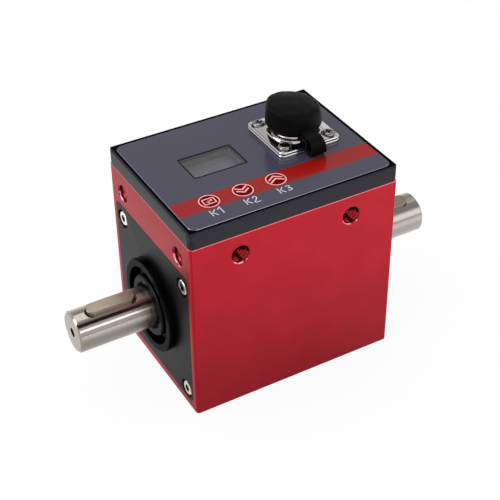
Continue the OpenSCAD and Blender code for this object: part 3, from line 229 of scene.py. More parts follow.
# Finishes, one for each material slot of the part, plus the inks and films of the label
shaftAxis = 28.5   # height of the shaft's axis
finishLook = {
    # bead blasted and dyed aluminium: a fine matt grain under a metal sheen that the dye tints red
    "red_anodised": {"color": "#B6212F", "deep": "#A91C29", "metallic": 0.9, "roughness": 0.4, "cloud": 11,
                     "spread": 0.05, "grain": 0.5, "bump": 0.012, "edge": 0.32},
    # polished chamfer of the housing's top edge: the same dye painted lighter, a painted highlight that
    # draws it as a pale line
    "chamferRed": {"color": "#E27780", "deep": "#DA6C75", "metallic": 0.9, "roughness": 0.26,
                   "spread": 0.05, "grain": 0.5, "bump": 0.006},
    # tapped threads: wet looking dyed aluminium, painted darker as painted shade inside the holes: deep red
    # with sharp glints
    "shadedThread": {"color": "#8E101B", "deep": "#6A0911", "metallic": 0.95, "roughness": 0.16,
                     "grazing": 0.8, "spread": 0.04, "grain": 0.4, "bump": 0.01},
    # flanks of the threads that face the mouth: painted lighter, a painted highlight that shows them as
    # lighter lines
    "cutRed": {"color": "#BC2C38", "deep": "#941C26", "metallic": 0.95, "roughness": 0.14,
               "spread": 0.04, "grain": 0.4, "bump": 0.006},
    # countersunk mouths of the holes: a smooth cut, painted a deeper red than the blasted faces as painted
    # shade in the mouth
    "mouthRed": {"color": "#A02833", "deep": "#90202B", "metallic": 0.95, "roughness": 0.12,
                 "spread": 0.04, "grain": 0.4, "bump": 0.006},
    # patches of the mouths painted bright: painted glints where they would catch the sky
    "glintRed": {"color": "#FFC4C8", "deep": "#B44450", "metallic": 0.95, "roughness": 0.18,
                 "spread": 0.04, "grain": 0.9, "bump": 0.03},
    # milled and dyed aluminium: nearly black, with a grey sheen at a flat angle
    "black_anodised": {"color": "#303035", "deep": "#29292D", "metallic": 0.9, "roughness": 0.38,
                       "spread": 0.05, "grain": 0.45, "bump": 0.01, "edge": 0.2},
    # the lid's narrow rim beside the label: its flat top painted a deeper black than its sides, painted
    # shade
    "lidRim": {"color": "#08080B", "deep": "#050507", "metallic": 0.9, "roughness": 0.3, "grazing": 0.2,
               "spread": 0.05, "grain": 0.45, "bump": 0.006, "edge": 0.2},
    # the end plates' dye is deeper and their blasted face duller than the lid's
    "plateAnodised": {"color": "#1B1B1D", "deep": "#141416", "metallic": 0.9, "roughness": 0.46,
                      "grazing": 0.95, "spread": 0.05, "grain": 0.45, "bump": 0.012, "edge": 0.22},
    # turned bosses of the end plates: darker than the blasted face, with fine rings round the shaft
    "turnedAnodised": {"color": "#0C0C0E", "deep": "#070708", "metallic": 0.9, "roughness": 0.34,
                       "grazing": 0.5, "spread": 0.05, "grain": 0.2, "rings": True, "bump": 0.004,
                       "edge": 0.3},
    # turned stainless steel screws: bright, with fine turning marks
    "stainless": {"color": "#E2E1DE", "deep": "#D2D1CE", "metallic": 1, "roughness": 0.2,
                  "spread": 0.06, "grain": 0.25, "bump": 0.006, "edge": 0.12},
    # the plate screws' polished heads: painted whiter than the stainless as painted light, with a warm tint
    "screwSteel": {"color": "#FFF9EC", "deep": "#F2ECE0", "metallic": 1, "roughness": 0.18,
                   "spread": 0.06, "grain": 0.25, "bump": 0.006, "edge": 0.12},
    # small pan head screws of the connector: duller nickel, painted a darker tone than the flange as a
    # painted reflection of the black cap
    "screwNickel": {"color": "#969494", "deep": "#868484", "metallic": 1, "roughness": 0.2,
                    "spread": 0.05, "grain": 0.25, "bump": 0.006, "edge": 0.08},
    # painted shade, nearly black, in the bores of the fixing holes, the screw seats, the bottom of drive
    # sockets and cross recesses, and centre holes
    "oiledRecess": {"color": "#0B0B0C", "deep": "#151413", "metallic": 0, "roughness": 0.45,
                    "spread": 0.08, "grain": 0.3, "bump": 0.01},
    # ground bearing steel: a cool mirror with faint lapping haze
    "bearing_steel": {"color": "#BEBFC2", "deep": "#B2B3B6", "metallic": 1, "roughness": 0.16,
                      "spread": 0.05, "grain": 0.4, "bump": 0.004, "edge": 0.1},
    # cylindrically ground shaft: warm grey steel, near to a mirror, with fine rings round it
    "ground_steel": {"color": "#B3ABA5", "deep": "#A8A09A", "metallic": 1, "roughness": 0.16,
                     "spread": 0.05, "grain": 0.22, "stretch": (1, 0.02, 0.02), "bump": 0.0012, "edge": 0.2},
    # the shaft's round face, ground truer than its mesh: exact round shading, with light drawn out along it
    "groundRound": {"color": "#B3ABA5", "deep": "#A39A93", "metallic": 1, "roughness": 0.15, "drawnOut": 1,
                    "spread": 0.04, "grain": 0.22, "stretch": (1, 0.04, 0.04), "bump": 0.0012,
                    "turned": True},
    # drawn key steel: a warm tint, duller than the shaft, with draw lines along the key
    "key_steel": {"color": "#9A8E81", "deep": "#8A7F72", "metallic": 1, "roughness": 0.3,
                  "spread": 0.08, "grain": 0.3, "stretch": (0.05, 1, 1), "bump": 0.006, "edge": 0.22},
    # blackened steel collars: almost black with turned rings round the shaft
    "dark_steel": {"color": "#242426", "deep": "#1B1B1D", "metallic": 1, "roughness": 0.3, "grazing": 0.6,
                   "spread": 0.06, "grain": 0.2, "rings": True, "bump": 0.006, "edge": 0.18},
    # enamelled copper wire: close turns side by side along the shaft
    "copper": {"color": "#B8703F", "deep": "#8A4A24", "metallic": 0.9, "roughness": 0.32,
               "spread": 0.06, "grain": 0.35, "stretch": (1, 0.03, 0.03), "bump": 0.05},
    # plain turned brass
    "brass": {"color": "#C9A24E", "deep": "#B48D3C", "metallic": 1, "roughness": 0.28,
              "spread": 0.06, "grain": 0.3, "bump": 0.006},
    # sintered ferrite: dull dark grey with a fine powder speckle
    "ferrite": {"color": "#4B4A4C", "deep": "#3A393B", "metallic": 0, "roughness": 0.7,
                "spread": 0.06, "grain": 0.3, "bump": 0.012},
    # solder mask over glass fibre: green gloss with the weave just showing
    "circuit_board": {"color": "#1B5F3B", "deep": "#14492D", "metallic": 0, "roughness": 0.35,
                      "spread": 0.06, "grain": 0.6, "bump": 0.01},
    # braided wire sleeve: pale and matt
    "wire_sleeve": {"color": "#BFB7A6", "deep": "#A89F8C", "metallic": 0, "roughness": 0.65,
                    "spread": 0.06, "grain": 0.4, "bump": 0.03},
    # moulded black thermoplastic: fine spark-eroded grain
    "black_plastic": {"color": "#1A1B1D", "deep": "#141517", "metallic": 0, "roughness": 0.48,
                      "spread": 0.06, "grain": 0.3, "bump": 0.01, "edge": 0.12},
    # moulded pale plastic
    "white_plastic": {"color": "#D9D7D0", "deep": "#CBC8C0", "metallic": 0, "roughness": 0.45,
                      "spread": 0.05, "grain": 0.4, "bump": 0.008, "edge": 0.12},
    # display module: grey liquid crystal glass with a faint cell grid
    "display_glass": {"color": "#807D8A", "deep": "#777481", "metallic": 0, "roughness": 0.22,
                      "spread": 0.04, "grain": 0.5, "bump": 0.004},
    # bright nickel plate on the connector: a mirror with a faint bloom
    "nickel_plate": {"color": "#E6E3E2", "deep": "#DBD8D6", "metallic": 1, "roughness": 0.09,
                     "spread": 0.04, "grain": 1.2, "bump": 0.002, "edge": 0.08},
    # moulded black rubber seals: dull
    "black_rubber": {"color": "#121214", "deep": "#0C0C0E", "metallic": 0, "roughness": 0.7,
                     "spread": 0.05, "grain": 0.4, "bump": 0.015},
    # soft rubber of the dust cap: matt black with a fine skin and a little bloom
    "cap_rubber": {"color": "#08080A", "deep": "#050506", "metallic": 0, "roughness": 0.55, "specular": 0.08,
                   "spread": 0.08, "grain": 0.9, "stretch": (0.35, 0.35, 1), "bump": 0.07},
    # printed film: violet grey ink below a satin face that mirrors the connector faintly
    "label_film": {"color": "#413E4E", "deep": "#3D3A49", "metallic": 0, "roughness": 0.2,
                   "spread": 0.04, "grain": 0.35, "bump": 0.0015, "edge": 0.1},
    # cut edge of the film: a painted highlight, a bright hairline on the sides that face the light
    "filmEdge": {"color": "#A6A4BE", "deep": "#9C9AB4", "metallic": 0.7, "roughness": 0.2,
                 "spread": 0.04, "grain": 0.35, "bump": 0.0015},
    # inks of the label: screen printed, slightly uneven in tone, below the same satin face
    "inkRed": {"color": "#94140F", "deep": "#8A110C", "metallic": 0, "roughness": 0.2, "specular": 0.32,
               "spread": 0.04, "grain": 0.35, "bump": 0.0015},
    "inkDeepRed": {"color": "#620406", "deep": "#5A0305", "metallic": 0, "roughness": 0.22, "specular": 0.02,
                   "spread": 0.04, "grain": 0.35, "bump": 0.0015},
    "inkSalmon": {"color": "#FFA9A6", "deep": "#F89E9B", "metallic": 0, "roughness": 0.25,
                  "spread": 0.04, "grain": 0.3, "bump": 0.0015},
    "inkPale": {"color": "#D6D6E2", "deep": "#C8C8D6", "metallic": 0, "roughness": 0.25,
                "spread": 0.04, "grain": 0.3, "bump": 0.0015},
    "inkBlack": {"color": "#06040A", "deep": "#040307", "metallic": 0, "roughness": 0.3, "specular": 0.12,
                 "spread": 0.04, "grain": 0.3, "bump": 0.0015},
    # masking ink on the underside of the lens, round the display, painted lighter as painted light to make
    # up for the light the lens keeps off it
    "lensMask": {"color": "#A6A39A", "deep": "#9E9B92", "metallic": 0, "roughness": 0.4,
                 "spread": 0.05, "grain": 0.3, "bump": 0.004},
    # olive plastic frame that lines the display's window
    "bezelPlastic": {"color": "#8E8C84", "deep": "#827F78", "metallic": 0, "roughness": 0.5,
                     "spread": 0.06, "grain": 0.3, "bump": 0.01},
}
finishes = {}
noiseRange = (0.3, 0.7)   # where most of the noise lies


def shaftSpoke(tree, coords):   # way out from the shaft's axis
    spoke = addNode(tree, "ShaderNodeMapping", None, {
        "Vector": coords.outputs["Object"], "Location": (0, 0, -shaftAxis * mm), "Scale": (0, 1, 1)})
    return spoke.outputs[0]


def toWorld(tree, kind, vector):
    turned = addNode(tree, "ShaderNodeVectorTransform",
                     {"vector_type": kind, "convert_from": "OBJECT", "convert_to": "WORLD"}, {0: vector})
    return turned.outputs[0]


def mixFinish(name, look):
    finish = bpy.data.materials.new(name)
    tree = freshTree(finish)
    coords = addNode(tree, "ShaderNodeTexCoord")
    grain = 1 / (look["grain"] * mm)
    if look.get("rings"):   # tone follows the distance from the shaft's axis
        reach = addNode(tree, "ShaderNodeVectorMath", {"operation": "LENGTH"}, {0: shaftSpoke(tree, coords)})
        pattern = addNode(tree, "ShaderNodeTexNoise", {"noise_dimensions": "1D"},
                          {"W": reach.outputs["Value"], "Scale": grain, "Detail": 3})
    else:
        stretch = look.get("stretch", (1, 1, 1))
        place = addNode(tree, "ShaderNodeMapping", None, {
            "Vector": coords.outputs["Object"], "Scale": [s * grain for s in stretch]})
        pattern = addNode(tree, "ShaderNodeTexNoise", None,
                          {"Vector": place.outputs[0], "Scale": 1, "Detail": 3})
    share = pattern
    if look.get("cloud"):   # wide soft patches where the dye took less evenly
        patch = addNode(tree, "ShaderNodeTexNoise", None, {
            "Vector": coords.outputs["Object"], "Scale": 1 / (look["cloud"] * mm), "Detail": 2})
        share = addNode(tree, "ShaderNodeMath", {"operation": "MULTIPLY_ADD"},
                        {0: patch.outputs[0], 1: pattern.outputs[0], 2: patch.outputs[0]})
    tone = mixTones(tree, share.outputs[0], linearColor(look["color"]), linearColor(look["deep"]))
    rough = addNode(tree, "ShaderNodeMapRange", None, {
        "Value": pattern.outputs[0], "From Min": noiseRange[0], "From Max": noiseRange[1],
        "To Min": look["roughness"] - look["spread"], "To Max": look["roughness"] + look["spread"]})
    bump = addNode(tree, "ShaderNodeBump", None, {
        "Strength": 1, "Distance": look["bump"] * mm, "Height": pattern.outputs[0]})
    if look.get("turned"):   # shading normal straight out from the shaft's axis
        tree.links.new(toWorld(tree, "NORMAL", shaftSpoke(tree, coords)), bump.inputs["Normal"])
    if look.get("edge"):   # edges catch the light as if slightly broken
        edge = addNode(tree, "ShaderNodeBevel", {"samples": 4}, {"Radius": look["edge"] * mm})
        tree.links.new(edge.outputs[0], bump.inputs["Normal"])
    graze = look.get("grazing", 1)   # share of the light sent back at a flat angle
    surface = addNode(tree, "ShaderNodeBsdfPrincipled", None, {
        "Base Color": tone, "Metallic": look["metallic"], "Specular IOR Level": look.get("specular", 0.5),
        "Specular Tint": (graze, graze, graze, 1), "Anisotropic": look.get("drawnOut", 0),
        "Roughness": rough.outputs[0], "Normal": bump.outputs[0]})
    if look.get("drawnOut"):   # grinding rings spread the light along the shaft
        tree.links.new(toWorld(tree, "VECTOR", (1, 0, 0)), surface.inputs["Tangent"])
    addNode(tree, "ShaderNodeOutputMaterial", None, {"Surface": surface.outputs[0]})
    finishes[name] = finish


for name, look in finishLook.items():
    mixFinish(name, look)


# Cast acrylic lens: clear, with a faint haze that keeps it from looking like a hole
lensLook = {"color": "#F3F5F4", "haze": 0.03, "grain": 2.0, "index": 1.49}


def mixLens(look):
    finish = bpy.data.materials.new("clear_lens")
    tree = freshTree(finish)
    coords = addNode(tree, "ShaderNodeTexCoord")
    pattern = addNode(tree, "ShaderNodeTexNoise", None,
                      {"Vector": coords.outputs["Object"], "Scale": 1 / (look["grain"] * mm), "Detail": 2})
    rough = addNode(tree, "ShaderNodeMapRange", None, {
        "Value": pattern.outputs[0], "To Min": 0, "To Max": 2 * look["haze"]})
    surface = addNode(tree, "ShaderNodeBsdfPrincipled", None, {
        "Base Color": linearColor(look["color"]), "Roughness": rough.outputs[0],
        "Transmission Weight": 1, "IOR": look["index"]})
    addNode(tree, "ShaderNodeOutputMaterial", None, {"Surface": surface.outputs[0]})
    finishes["clear_lens"] = finish


mixLens(lensLook)
print("finishes mixed:", len(finishes))

# Slot, body and finish of each solid
nodeSlot = {name: node.material_slots[0].material.name for name, node in frame["nodes"].items()}
print("slots:", sorted(set(nodeSlot.values())))
nodeBody = {node: body for body, names in frame["record"]["behaviour"]["bodies"].items() for node in names}
for name, node in frame["nodes"].items():
    for holder in node.material_slots:
        holder.material = finishes[nodeSlot[name]]


# Tools that build the pieces
weld = 0.001 * mm   # points closer than this are one
slack = 0.01   # heights closer than this are one
edgeAngle = 1   # edges sharper than this are rounded, in radians


def mergedCopy(name):
    mesh = bmesh.new()
    mesh.from_mesh(frame["nodes"][name].data)
    bmesh.ops.remove_doubles(mesh, verts=mesh.verts[:], dist=weld)
    bmesh.ops.dissolve_limit(mesh, angle_limit=radians(0.3), verts=mesh.verts[:], edges=mesh.edges[:],
                             use_dissolve_boundaries=False)
    return mesh


def joinMeshes(meshes):
    whole = bmesh.new()
    for mesh in meshes:
        data = bpy.data.meshes.new("joining")
        mesh.to_mesh(data)
        mesh.free()
        whole.from_mesh(data)
        bpy.data.meshes.remove(data)
    return whole


def drawLine(mesh, points, closed=False):
    corners = [mesh.verts.new([part * mm for part in point]) for point in points]
    edges = [mesh.edges.new(pair) for pair in zip(corners, corners[1:])]
    if closed:
        edges.append(mesh.edges.new((corners[-1], corners[0])))
    return corners, edges


def onlyKind(parts, kind):
    return [part for part in parts if isinstance(part, kind)]


def raiseWall(mesh, points, low, rise, width, closed=False):
    edges = drawLine(mesh, [(x, y, low) for x, y in points], closed)[1]
    wall = bmesh.ops.extrude_edge_only(mesh, edges=edges)["geom"]
    bmesh.ops.translate(mesh, verts=onlyKind(wall, bmesh.types.BMVert), vec=(0, 0, rise * mm))
    faces = onlyKind(wall, bmesh.types.BMFace)
    bmesh.ops.recalc_face_normals(mesh, faces=faces)
    bmesh.ops.solidify(mesh, geom=faces, thickness=width * mm)


def cutAt(mesh, place, normal, parts=None):
    bmesh.ops.bisect_plane(mesh, geom=parts or mesh.verts[:] + mesh.edges[:] + mesh.faces[:],
                           plane_co=Vector(place) * mm, plane_no=normal)


def bevelEdges(mesh, edges, offset, segments, material=-1):
    bmesh.ops.bevel(mesh, geom=edges, offset=offset * mm, offset_type="OFFSET", affect="EDGES",
                    segments=segments, profile=0.5, material=material)


def makePiece(name, mesh, body, looks, replaced=(), sharp=32):
    for face in mesh.faces:
        face.smooth = True
    data = bpy.data.meshes.new(name)
    mesh.to_mesh(data)
    mesh.free()
    data.set_sharp_from_angle(angle=radians(sharp))
    for look in looks:
        data.materials.append(finishes[look])
    piece = bpy.data.objects.new(name, data)
    scene.collection.objects.link(piece)
    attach(piece, body)
    if replaced:
        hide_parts(*replaced)
    shading = piece.modifiers.new("flatFaces", "WEIGHTED_NORMAL")   # large flats stay flat beside rounds
    shading.keep_sharp = True
    shading.weight = 100


# Pieces whose solid is right: the same shape with merged, smooth faces
smoothedNodes = ("housing", "left_end_plate", "right_end_plate", "left_plate_screws", "right_plate_screws",
                 "shaft", "left_shaft_key", "right_shaft_key", "left_collar", "right_collar",
                 "left_bearing_seals", "right_bearing_seals", "left_bearing_inner_ring",
                 "right_bearing_inner_ring", "lid", "connector_base_plate", "connector_gasket",
                 "connector_screws", "connector_carrier", "connector_contacts")
ownLook = {"left_end_plate": "plateAnodised", "right_end_plate": "plateAnodised",
           "left_plate_screws": "screwSteel", "right_plate_screws": "screwSteel",
           "connector_screws": "screwNickel"}

# Axes that holes and round faces are found by
connectorAxis = (19.2, 4.5)
halfLength, halfWidth = 39.5, 30   # of the housing
holeHeight = 62.4
frontHoles = [(x, 0, holeHeight) for x in (-21.25, 21.25)]
endHoles = [(0, y, holeHeight) for y in (-20.75, 20.75)]
baseHoles = [(x, y, 0) for x in (-20, 20) for y in (-22.5, 22.5)]
shaftLine = [(0, 0, shaftAxis)]
plateScrews = [(0, y, z) for y in (-22.4, 22.4) for z in (6.1, 50.9)]
connectorScrews = [(connectorAxis[0] + x, connectorAxis[1] + y, 0) for x in (-8.7, 8.7) for y in (-8.7, 8.7)]

# Faces in another finish: finish, direction of the axis, points on it, reach from it and stretch along it
# bores, seats, sockets and centre holes take painted shade
boreFaces = [("oiledRecess", 1, frontHoles, 3.2, (0, 29.9)),
             ("oiledRecess", 0, endHoles, 3.2, (0, 39.4)),
             ("oiledRecess", 2, baseHoles, 3.2, (0.1, 12))]
# the mouths take a deeper red as painted shade
mouthFaces = [("mouthRed", 1, frontHoles, 3.65, (29.42, 29.98)),
              ("mouthRed", 0, endHoles, 3.65, (38.92, 39.48)),
              ("mouthRed", 2, baseHoles, 3.65, (0.02, 0.58))]
plateFaces = [("oiledRecess", 0, plateScrews, 3.7, (0, 39.3)),
              ("turnedAnodised", 0, shaftLine, 17.4, (39.7, 43))]
socketFaces = [("oiledRecess", 0, plateScrews, 1.9, (0, 38.9))]
ownFaces = {
    "housing": boreFaces + mouthFaces,
    "left_end_plate": plateFaces, "right_end_plate": plateFaces,
    "left_plate_screws": socketFaces, "right_plate_screws": socketFaces,
    "shaft": [("oiledRecess", 0, shaftLine, 1.8, (0, 70.48))],
    "connector_screws": [("oiledRecess", 2, connectorScrews, 1.75, (0, 79.62))],
    "connector_shell": [("oiledRecess", 2, connectorScrews, 2.7, (70, 78.95))],
}
topFaces = {   # finish, least height and range of slope
    # painted highlight on the housing's top chamfer
    "housing": ("chamferRed", 70, (0.4, 0.95)),
    # painted shade on the lid's flat top
    "lid": ("lidRim", 75.9, (0.95, 1.1)),
}
glintForm = {"patches": 0.8, "slope": 0.2}   # painted glints: patches to a millimetre and least slope towards the sky
# Round face of the shaft, with how far it may be off, and the mouths of its centre holes
shaftForm = {"radius": 7.5, "truth": 0.03, "endFrom": 70.4, "centreHole": 3, "mouthShare": 0.6}
rimForm = {   # height and radius of the soft edges of the connector's square plates
    "connector_base_plate": {77.6: 0.45, 76.5: 0.2},
    "connector_shell": {79.1: 0.45, 77.9: 0.25},
}
plateRimFrom = 10.8   # the plates' outline is further than this from the connector's axis


def fromAxis(point, base, along):
    away = point / mm - Vector(base)
    away[along] = 0
    return away.length


def fromConnector(point):   # distance along the square plates' sides
    return max(abs(point.x / mm - connectorAxis[0]), abs(point.y / mm - connectorAxis[1]))


def shadeFaces(mesh, looks, sets):
    for finish, along, points, reach, (low, high) in sets:
        if finish not in looks:
            looks.append(finish)
        for face in mesh.faces:
            if low < abs(face.calc_center_median()[along]) / mm < high and any(
                    all(fromAxis(vert.co, base, along) < reach for vert in face.verts) for base in points):
                face.material_index = looks.index(finish)


def lightMouths(mesh, looks, form):
    looks.append("glintRed")
    for face in mesh.faces:   # painted glints on patches of the half that looks up
        patch = noise.noise(face.calc_center_median() / mm * form["patches"])
        if looks[face.material_index] == "mouthRed" and face.normal.z > form["slope"] and patch > 0:
            face.material_index = looks.index("glintRed")


def shadeShaft(mesh, looks, form):
    axis = Vector(shaftLine[0])
    for vert in mesh.verts:   # the mouth of the centre hole is drawn in to a small chamfer
        if abs(vert.co.x) / mm > form["endFrom"] and fromAxis(vert.co, axis, 0) < form["centreHole"]:
            vert.co.yz = axis.yz * mm + (vert.co.yz - axis.yz * mm) * form["mouthShare"]
    looks.append("groundRound")
    for face in mesh.faces:
        if all(abs(fromAxis(vert.co, axis, 0) - form["radius"]) < form["truth"] for vert in face.verts):
            face.material_index = 1


def shadeTop(mesh, looks, finish, height, slope):
    looks.append(finish)
    for face in mesh.faces:
        if slope[0] < face.normal.z < slope[1] and face.calc_center_median().z / mm > height:
            face.material_index = 1


def roundRim(mesh, rims):
    for height, radius in rims.items():
        edges = [edge for edge in mesh.edges if edge.calc_face_angle(0) > edgeAngle and all(
            abs(vert.co.z / mm - height) < slack and fromConnector(vert.co) > plateRimFrom
            for vert in edge.verts)]
        bevelEdges(mesh, edges, radius, segments=12)


for name in smoothedNodes:
    skin = mergedCopy(name)
    looks = [ownLook.get(name, nodeSlot[name])]
    if name == "shaft":
        shadeShaft(skin, looks, shaftForm)
    if name in topFaces:
        shadeTop(skin, looks, *topFaces[name])
    roundRim(skin, rimForm.get(name, {}))
    shadeFaces(skin, looks, ownFaces.get(name, ()))
    if name == "housing":
        lightMouths(skin, looks, glintForm)
    makePiece(name + ".skin", skin, nodeBody[name], looks, [name])
print("smooth skins made:", len(smoothedNodes))


# Thread in each fixing hole, drawn coarser than it is
threadForm = {"pitch": 1.35, "outer": 3.03, "inner": 2.5, "crest": 0.16, "turns": 4, "steps": 28,
              "start": 7.2, "lit": 0.3}
# Fixing holes: middle of the mouth, way out and extra turns of thread
threadHoles = {
    "frontThreads": [((x, -halfWidth, z), (0, -1, 0), 0) for x, y, z in frontHoles],
    "backThreads": [((x, halfWidth, z), (0, 1, 0), 0) for x, y, z in frontHoles],
    "leftThreads": [((-halfLength, y, z), (-1, 0, 0), 0) for x, y, z in endHoles],
    "rightThreads": [((halfLength, y, z), (1, 0, 0), 0) for x, y, z in endHoles],
    "baseThreads": [(hole, (0, 0, -1), 1) for hole in baseHoles],
}


def turnThread(form, foot, crest, low, turns):   # thread round the Z axis, from its foot to its crest
    mesh = bmesh.new()
    flank = (form["pitch"] - form["crest"]) / 2
    profile = [(foot, 0, low), (crest, 0, low + flank), (crest, 0, low + flank + form["crest"]),
               (foot, 0, low + form["pitch"])]
    corners, edges = drawLine(mesh, profile)
    bmesh.ops.spin(mesh, geom=corners + edges, cent=(0, 0, 0), axis=(0, 0, 1),
                   dvec=(0, 0, form["pitch"] / form["steps"] * mm), angle=2 * pi * turns,
                   steps=form["steps"] * turns)
    bmesh.ops.remove_doubles(mesh, verts=mesh.verts[:], dist=weld)
    mesh.normal_update()
    outward = sum(face.normal.xy.dot(face.calc_center_median().xy) for face in mesh.faces)
    if outward * (crest - foot) < 0:   # the faces look the way the crest points
        bmesh.ops.reverse_faces(mesh, faces=mesh.faces[:])
    return mesh


def cutThread(form, mouth, way, extraTurns):
    low = -form["start"] - extraTurns * form["pitch"]
    mesh = turnThread(form, form["outer"], form["inner"], low, form["turns"] + extraTurns)
    turn = Vector((0, 0, 1)).rotation_difference(Vector(way)).to_matrix().to_4x4()
    bmesh.ops.transform(mesh, matrix=Matrix.Translation(Vector(mouth) * mm) @ turn, verts=mesh.verts[:])
    mesh.normal_update()
    for face in mesh.faces:   # the flanks that face the mouth get a painted highlight where they would catch the light
        face.material_index = int(face.normal.dot(Vector(way)) > form["lit"])
    return mesh


for name, holes in threadHoles.items():
    threads = joinMeshes([cutThread(threadForm, *hole) for hole in holes])
    makePiece(name, threads, "sensor_body", ["shadedThread", "cutRed"])
print("threads cut")


# Label: film with a red stripe, key rings, signs and letters
windowMiddle = (-13.1, 3.75)
labelForm = {"top": 76.5, "stripe": (-20.4, -12.5), "ink": 0.02, "edge": 0.16, "rimFrom": (33, 24),
             "keys": (-25.15, -12.68, -0.19), "keyY": -16.4, "ring": 3.62, "ringWidth": 0.45,
             "field": 3.92, "fieldLift": 0.5,
             "window": (19.2, 12.3), "windowLine": 0.55, "windowCorner": 0.7}
# Signs, from the middle of their key: an arrow in a box and pairs of chevrons
signForm = {"box": (4.5, 3.3, 0.5), "boxLine": 0.45,
            "arrow": [[(1.1, 0.9), (1.1, -0.2), (-0.9, -0.2)], [(-0.3, 0.55), (-1.1, -0.2), (-0.3, -0.95)]],
            "chevron": (2.45, 0.85), "apart": 0.8, "chevronLine": 0.62}
# Letters, with start, step and strokes in parts of their height
letterForm = {"y": -22.85, "shift": -0.35, "height": 3.2, "width": 0.34, "start": -0.76, "step": 0.9}
strokes = {
    "K": [[(0, 0), (0, 1)], [(0.62, 1), (0.02, 0.4)], [(0.24, 0.6), (0.66, 0)]],
    "1": [[(0.02, 0.76), (0.3, 1), (0.3, 0)]],
    "2": [[(0.03, 0.76), (0.12, 0.93), (0.32, 1), (0.52, 0.92), (0.58, 0.74), (0.5, 0.54), (0.03, 0.02)],
          [(0, 0), (0.62, 0)]],
    "3": [[(0.05, 0.86), (0.16, 0.96), (0.32, 1), (0.5, 0.93), (0.55, 0.76), (0.48, 0.6), (0.26, 0.53)],
          [(0.26, 0.53), (0.5, 0.46), (0.6, 0.27), (0.5, 0.07), (0.3, 0), (0.13, 0.04), (0.02, 0.16)]],
}


def splitLabel(form):
    mesh = mergedCopy("label")
    low, high = form["stripe"]
    for y in (low, high):
        cutAt(mesh, (0, y, 0), (0, 1, 0))
    for face in mesh.faces:
        if face.normal.z > 0.5 and low < face.calc_center_median().y / mm < high:
            face.material_index = 1
    x, y = form["rimFrom"]
    rim = [edge for edge in mesh.edges if edge.calc_face_angle(0) > edgeAngle and all(
        abs(vert.co.z / mm - form["top"]) < slack and (abs(vert.co.x / mm) > x or abs(vert.co.y / mm) > y)
        for vert in edge.verts)]
    # the bevelled outer edge of the film takes the painted highlight
    bevelEdges(mesh, rim, form["edge"], segments=1, material=2)
    return mesh


def inkLine(mesh, points, width, form):
    raiseWall(mesh, points, form["top"], form["ink"], width)


def inkField(mesh, points, form, frameWidth=0, lift=1):
    field = mesh.faces.new([mesh.verts.new((x * mm, y * mm, form["top"] * mm)) for x, y in points])
    field.normal_update()
    faces = [field]
    if frameWidth:   # only a frame of this width is printed
        faces = bmesh.ops.inset_region(mesh, faces=[field], thickness=frameWidth * mm, use_boundary=True,
                                       use_even_offset=True)["faces"]
        bmesh.ops.delete(mesh, geom=[field], context="FACES")
    grown = bmesh.ops.extrude_face_region(mesh, geom=faces)["geom"]
    bmesh.ops.translate(mesh, verts=onlyKind(grown, bmesh.types.BMVert), vec=(0, 0, form["ink"] * lift * mm))


def arcPoints(x, y, r, angles):
    return [(x + r * cos(radians(a)), y + r * sin(radians(a))) for a in angles]


def circlePath(x, y, r, steps=72):
    return arcPoints(x, y, r, [360 * i / steps for i in range(steps)])


def roundedPath(x, y, w, h, r, steps=6):
    corners = ((1, -1, -90), (1, 1, 0), (-1, 1, 90), (-1, -1, 180))
    return [point for sx, sy, start in corners
            for point in arcPoints(x + sx * (w / 2 - r), y + sy * (h / 2 - r), r,
                                   [start + 90 * i / steps for i in range(steps + 1)])]


def printSigns(mesh, form, signs):
    keyX, y = form["keys"], form["keyY"]
    for x in keyX:
        inkField(mesh, circlePath(x, y, form["ring"]), form, form["ringWidth"])
    inkField(mesh, roundedPath(keyX[0], y, *signs["box"]), form, signs["boxLine"])
    for stroke in signs["arrow"]:
        inkLine(mesh, [(keyX[0] + px, y + py) for px, py in stroke], signs["boxLine"], form)
    reach, rise = signs["chevron"]
    for way, x in ((-1, keyX[1]), (1, keyX[2])):   # one pair points down, the other up
        for shift in (-signs["apart"], signs["apart"]):
            inkLine(mesh, [(x - reach, y + shift - way * rise), (x, y + shift + way * rise),
                           (x + reach, y + shift - way * rise)], signs["chevronLine"], form)


def printWord(mesh, word, x, form, letters):
    height = letters["height"]
    for place, letter in enumerate(word):
        left = x + (place * letters["step"] + letters["start"]) * height
        for stroke in strokes[letter]:
            points = [(left + px * height, letters["y"] + (py - 0.5) * height) for px, py in stroke]
            inkLine(mesh, points, letters["width"], form)


makePiece("labelFilm", splitLabel(labelForm), "sensor_body",
          ["label_film", "inkRed", "filmEdge"], ["label"])
fields, marks, letters, outline = bmesh.new(), bmesh.new(), bmesh.new(), bmesh.new()
for number, x in enumerate(labelForm["keys"], 1):
    inkField(fields, circlePath(x, labelForm["keyY"], labelForm["field"]), labelForm,
             lift=labelForm["fieldLift"])
    printWord(letters, "K" + str(number), x + letterForm["shift"], labelForm, letterForm)
printSigns(marks, labelForm, signForm)
width, height = [size + 2 * labelForm["windowLine"] for size in labelForm["window"]]
inkField(outline, roundedPath(*windowMiddle, width, height, labelForm["windowCorner"]), labelForm,
         labelForm["windowLine"])
makePiece("keyFields", fields, "sensor_body", ["inkDeepRed"])
makePiece("keyMarks", marks, "sensor_body", ["inkSalmon"])
makePiece("keyLetters", letters, "sensor_body", ["inkPale"])
makePiece("windowLine", outline, "sensor_body", ["inkBlack"])
print("label printed")


# Olive frame between the display's glass and the lens, and the lens drawn in to the window
bezelForm = {"opening": (18.3, 11.4), "corner": 0.5, "low": 72.85, "high": 74.95, "wall": 0.35,
             "lens": (19.16, 12.26), "cadLens": (21.4, 14.5)}


def buildBezel(form):
    mesh = bmesh.new()
    raiseWall(mesh, roundedPath(*windowMiddle, *form["opening"], form["corner"]), form["low"],
              form["high"] - form["low"], form["wall"], True)
    return mesh


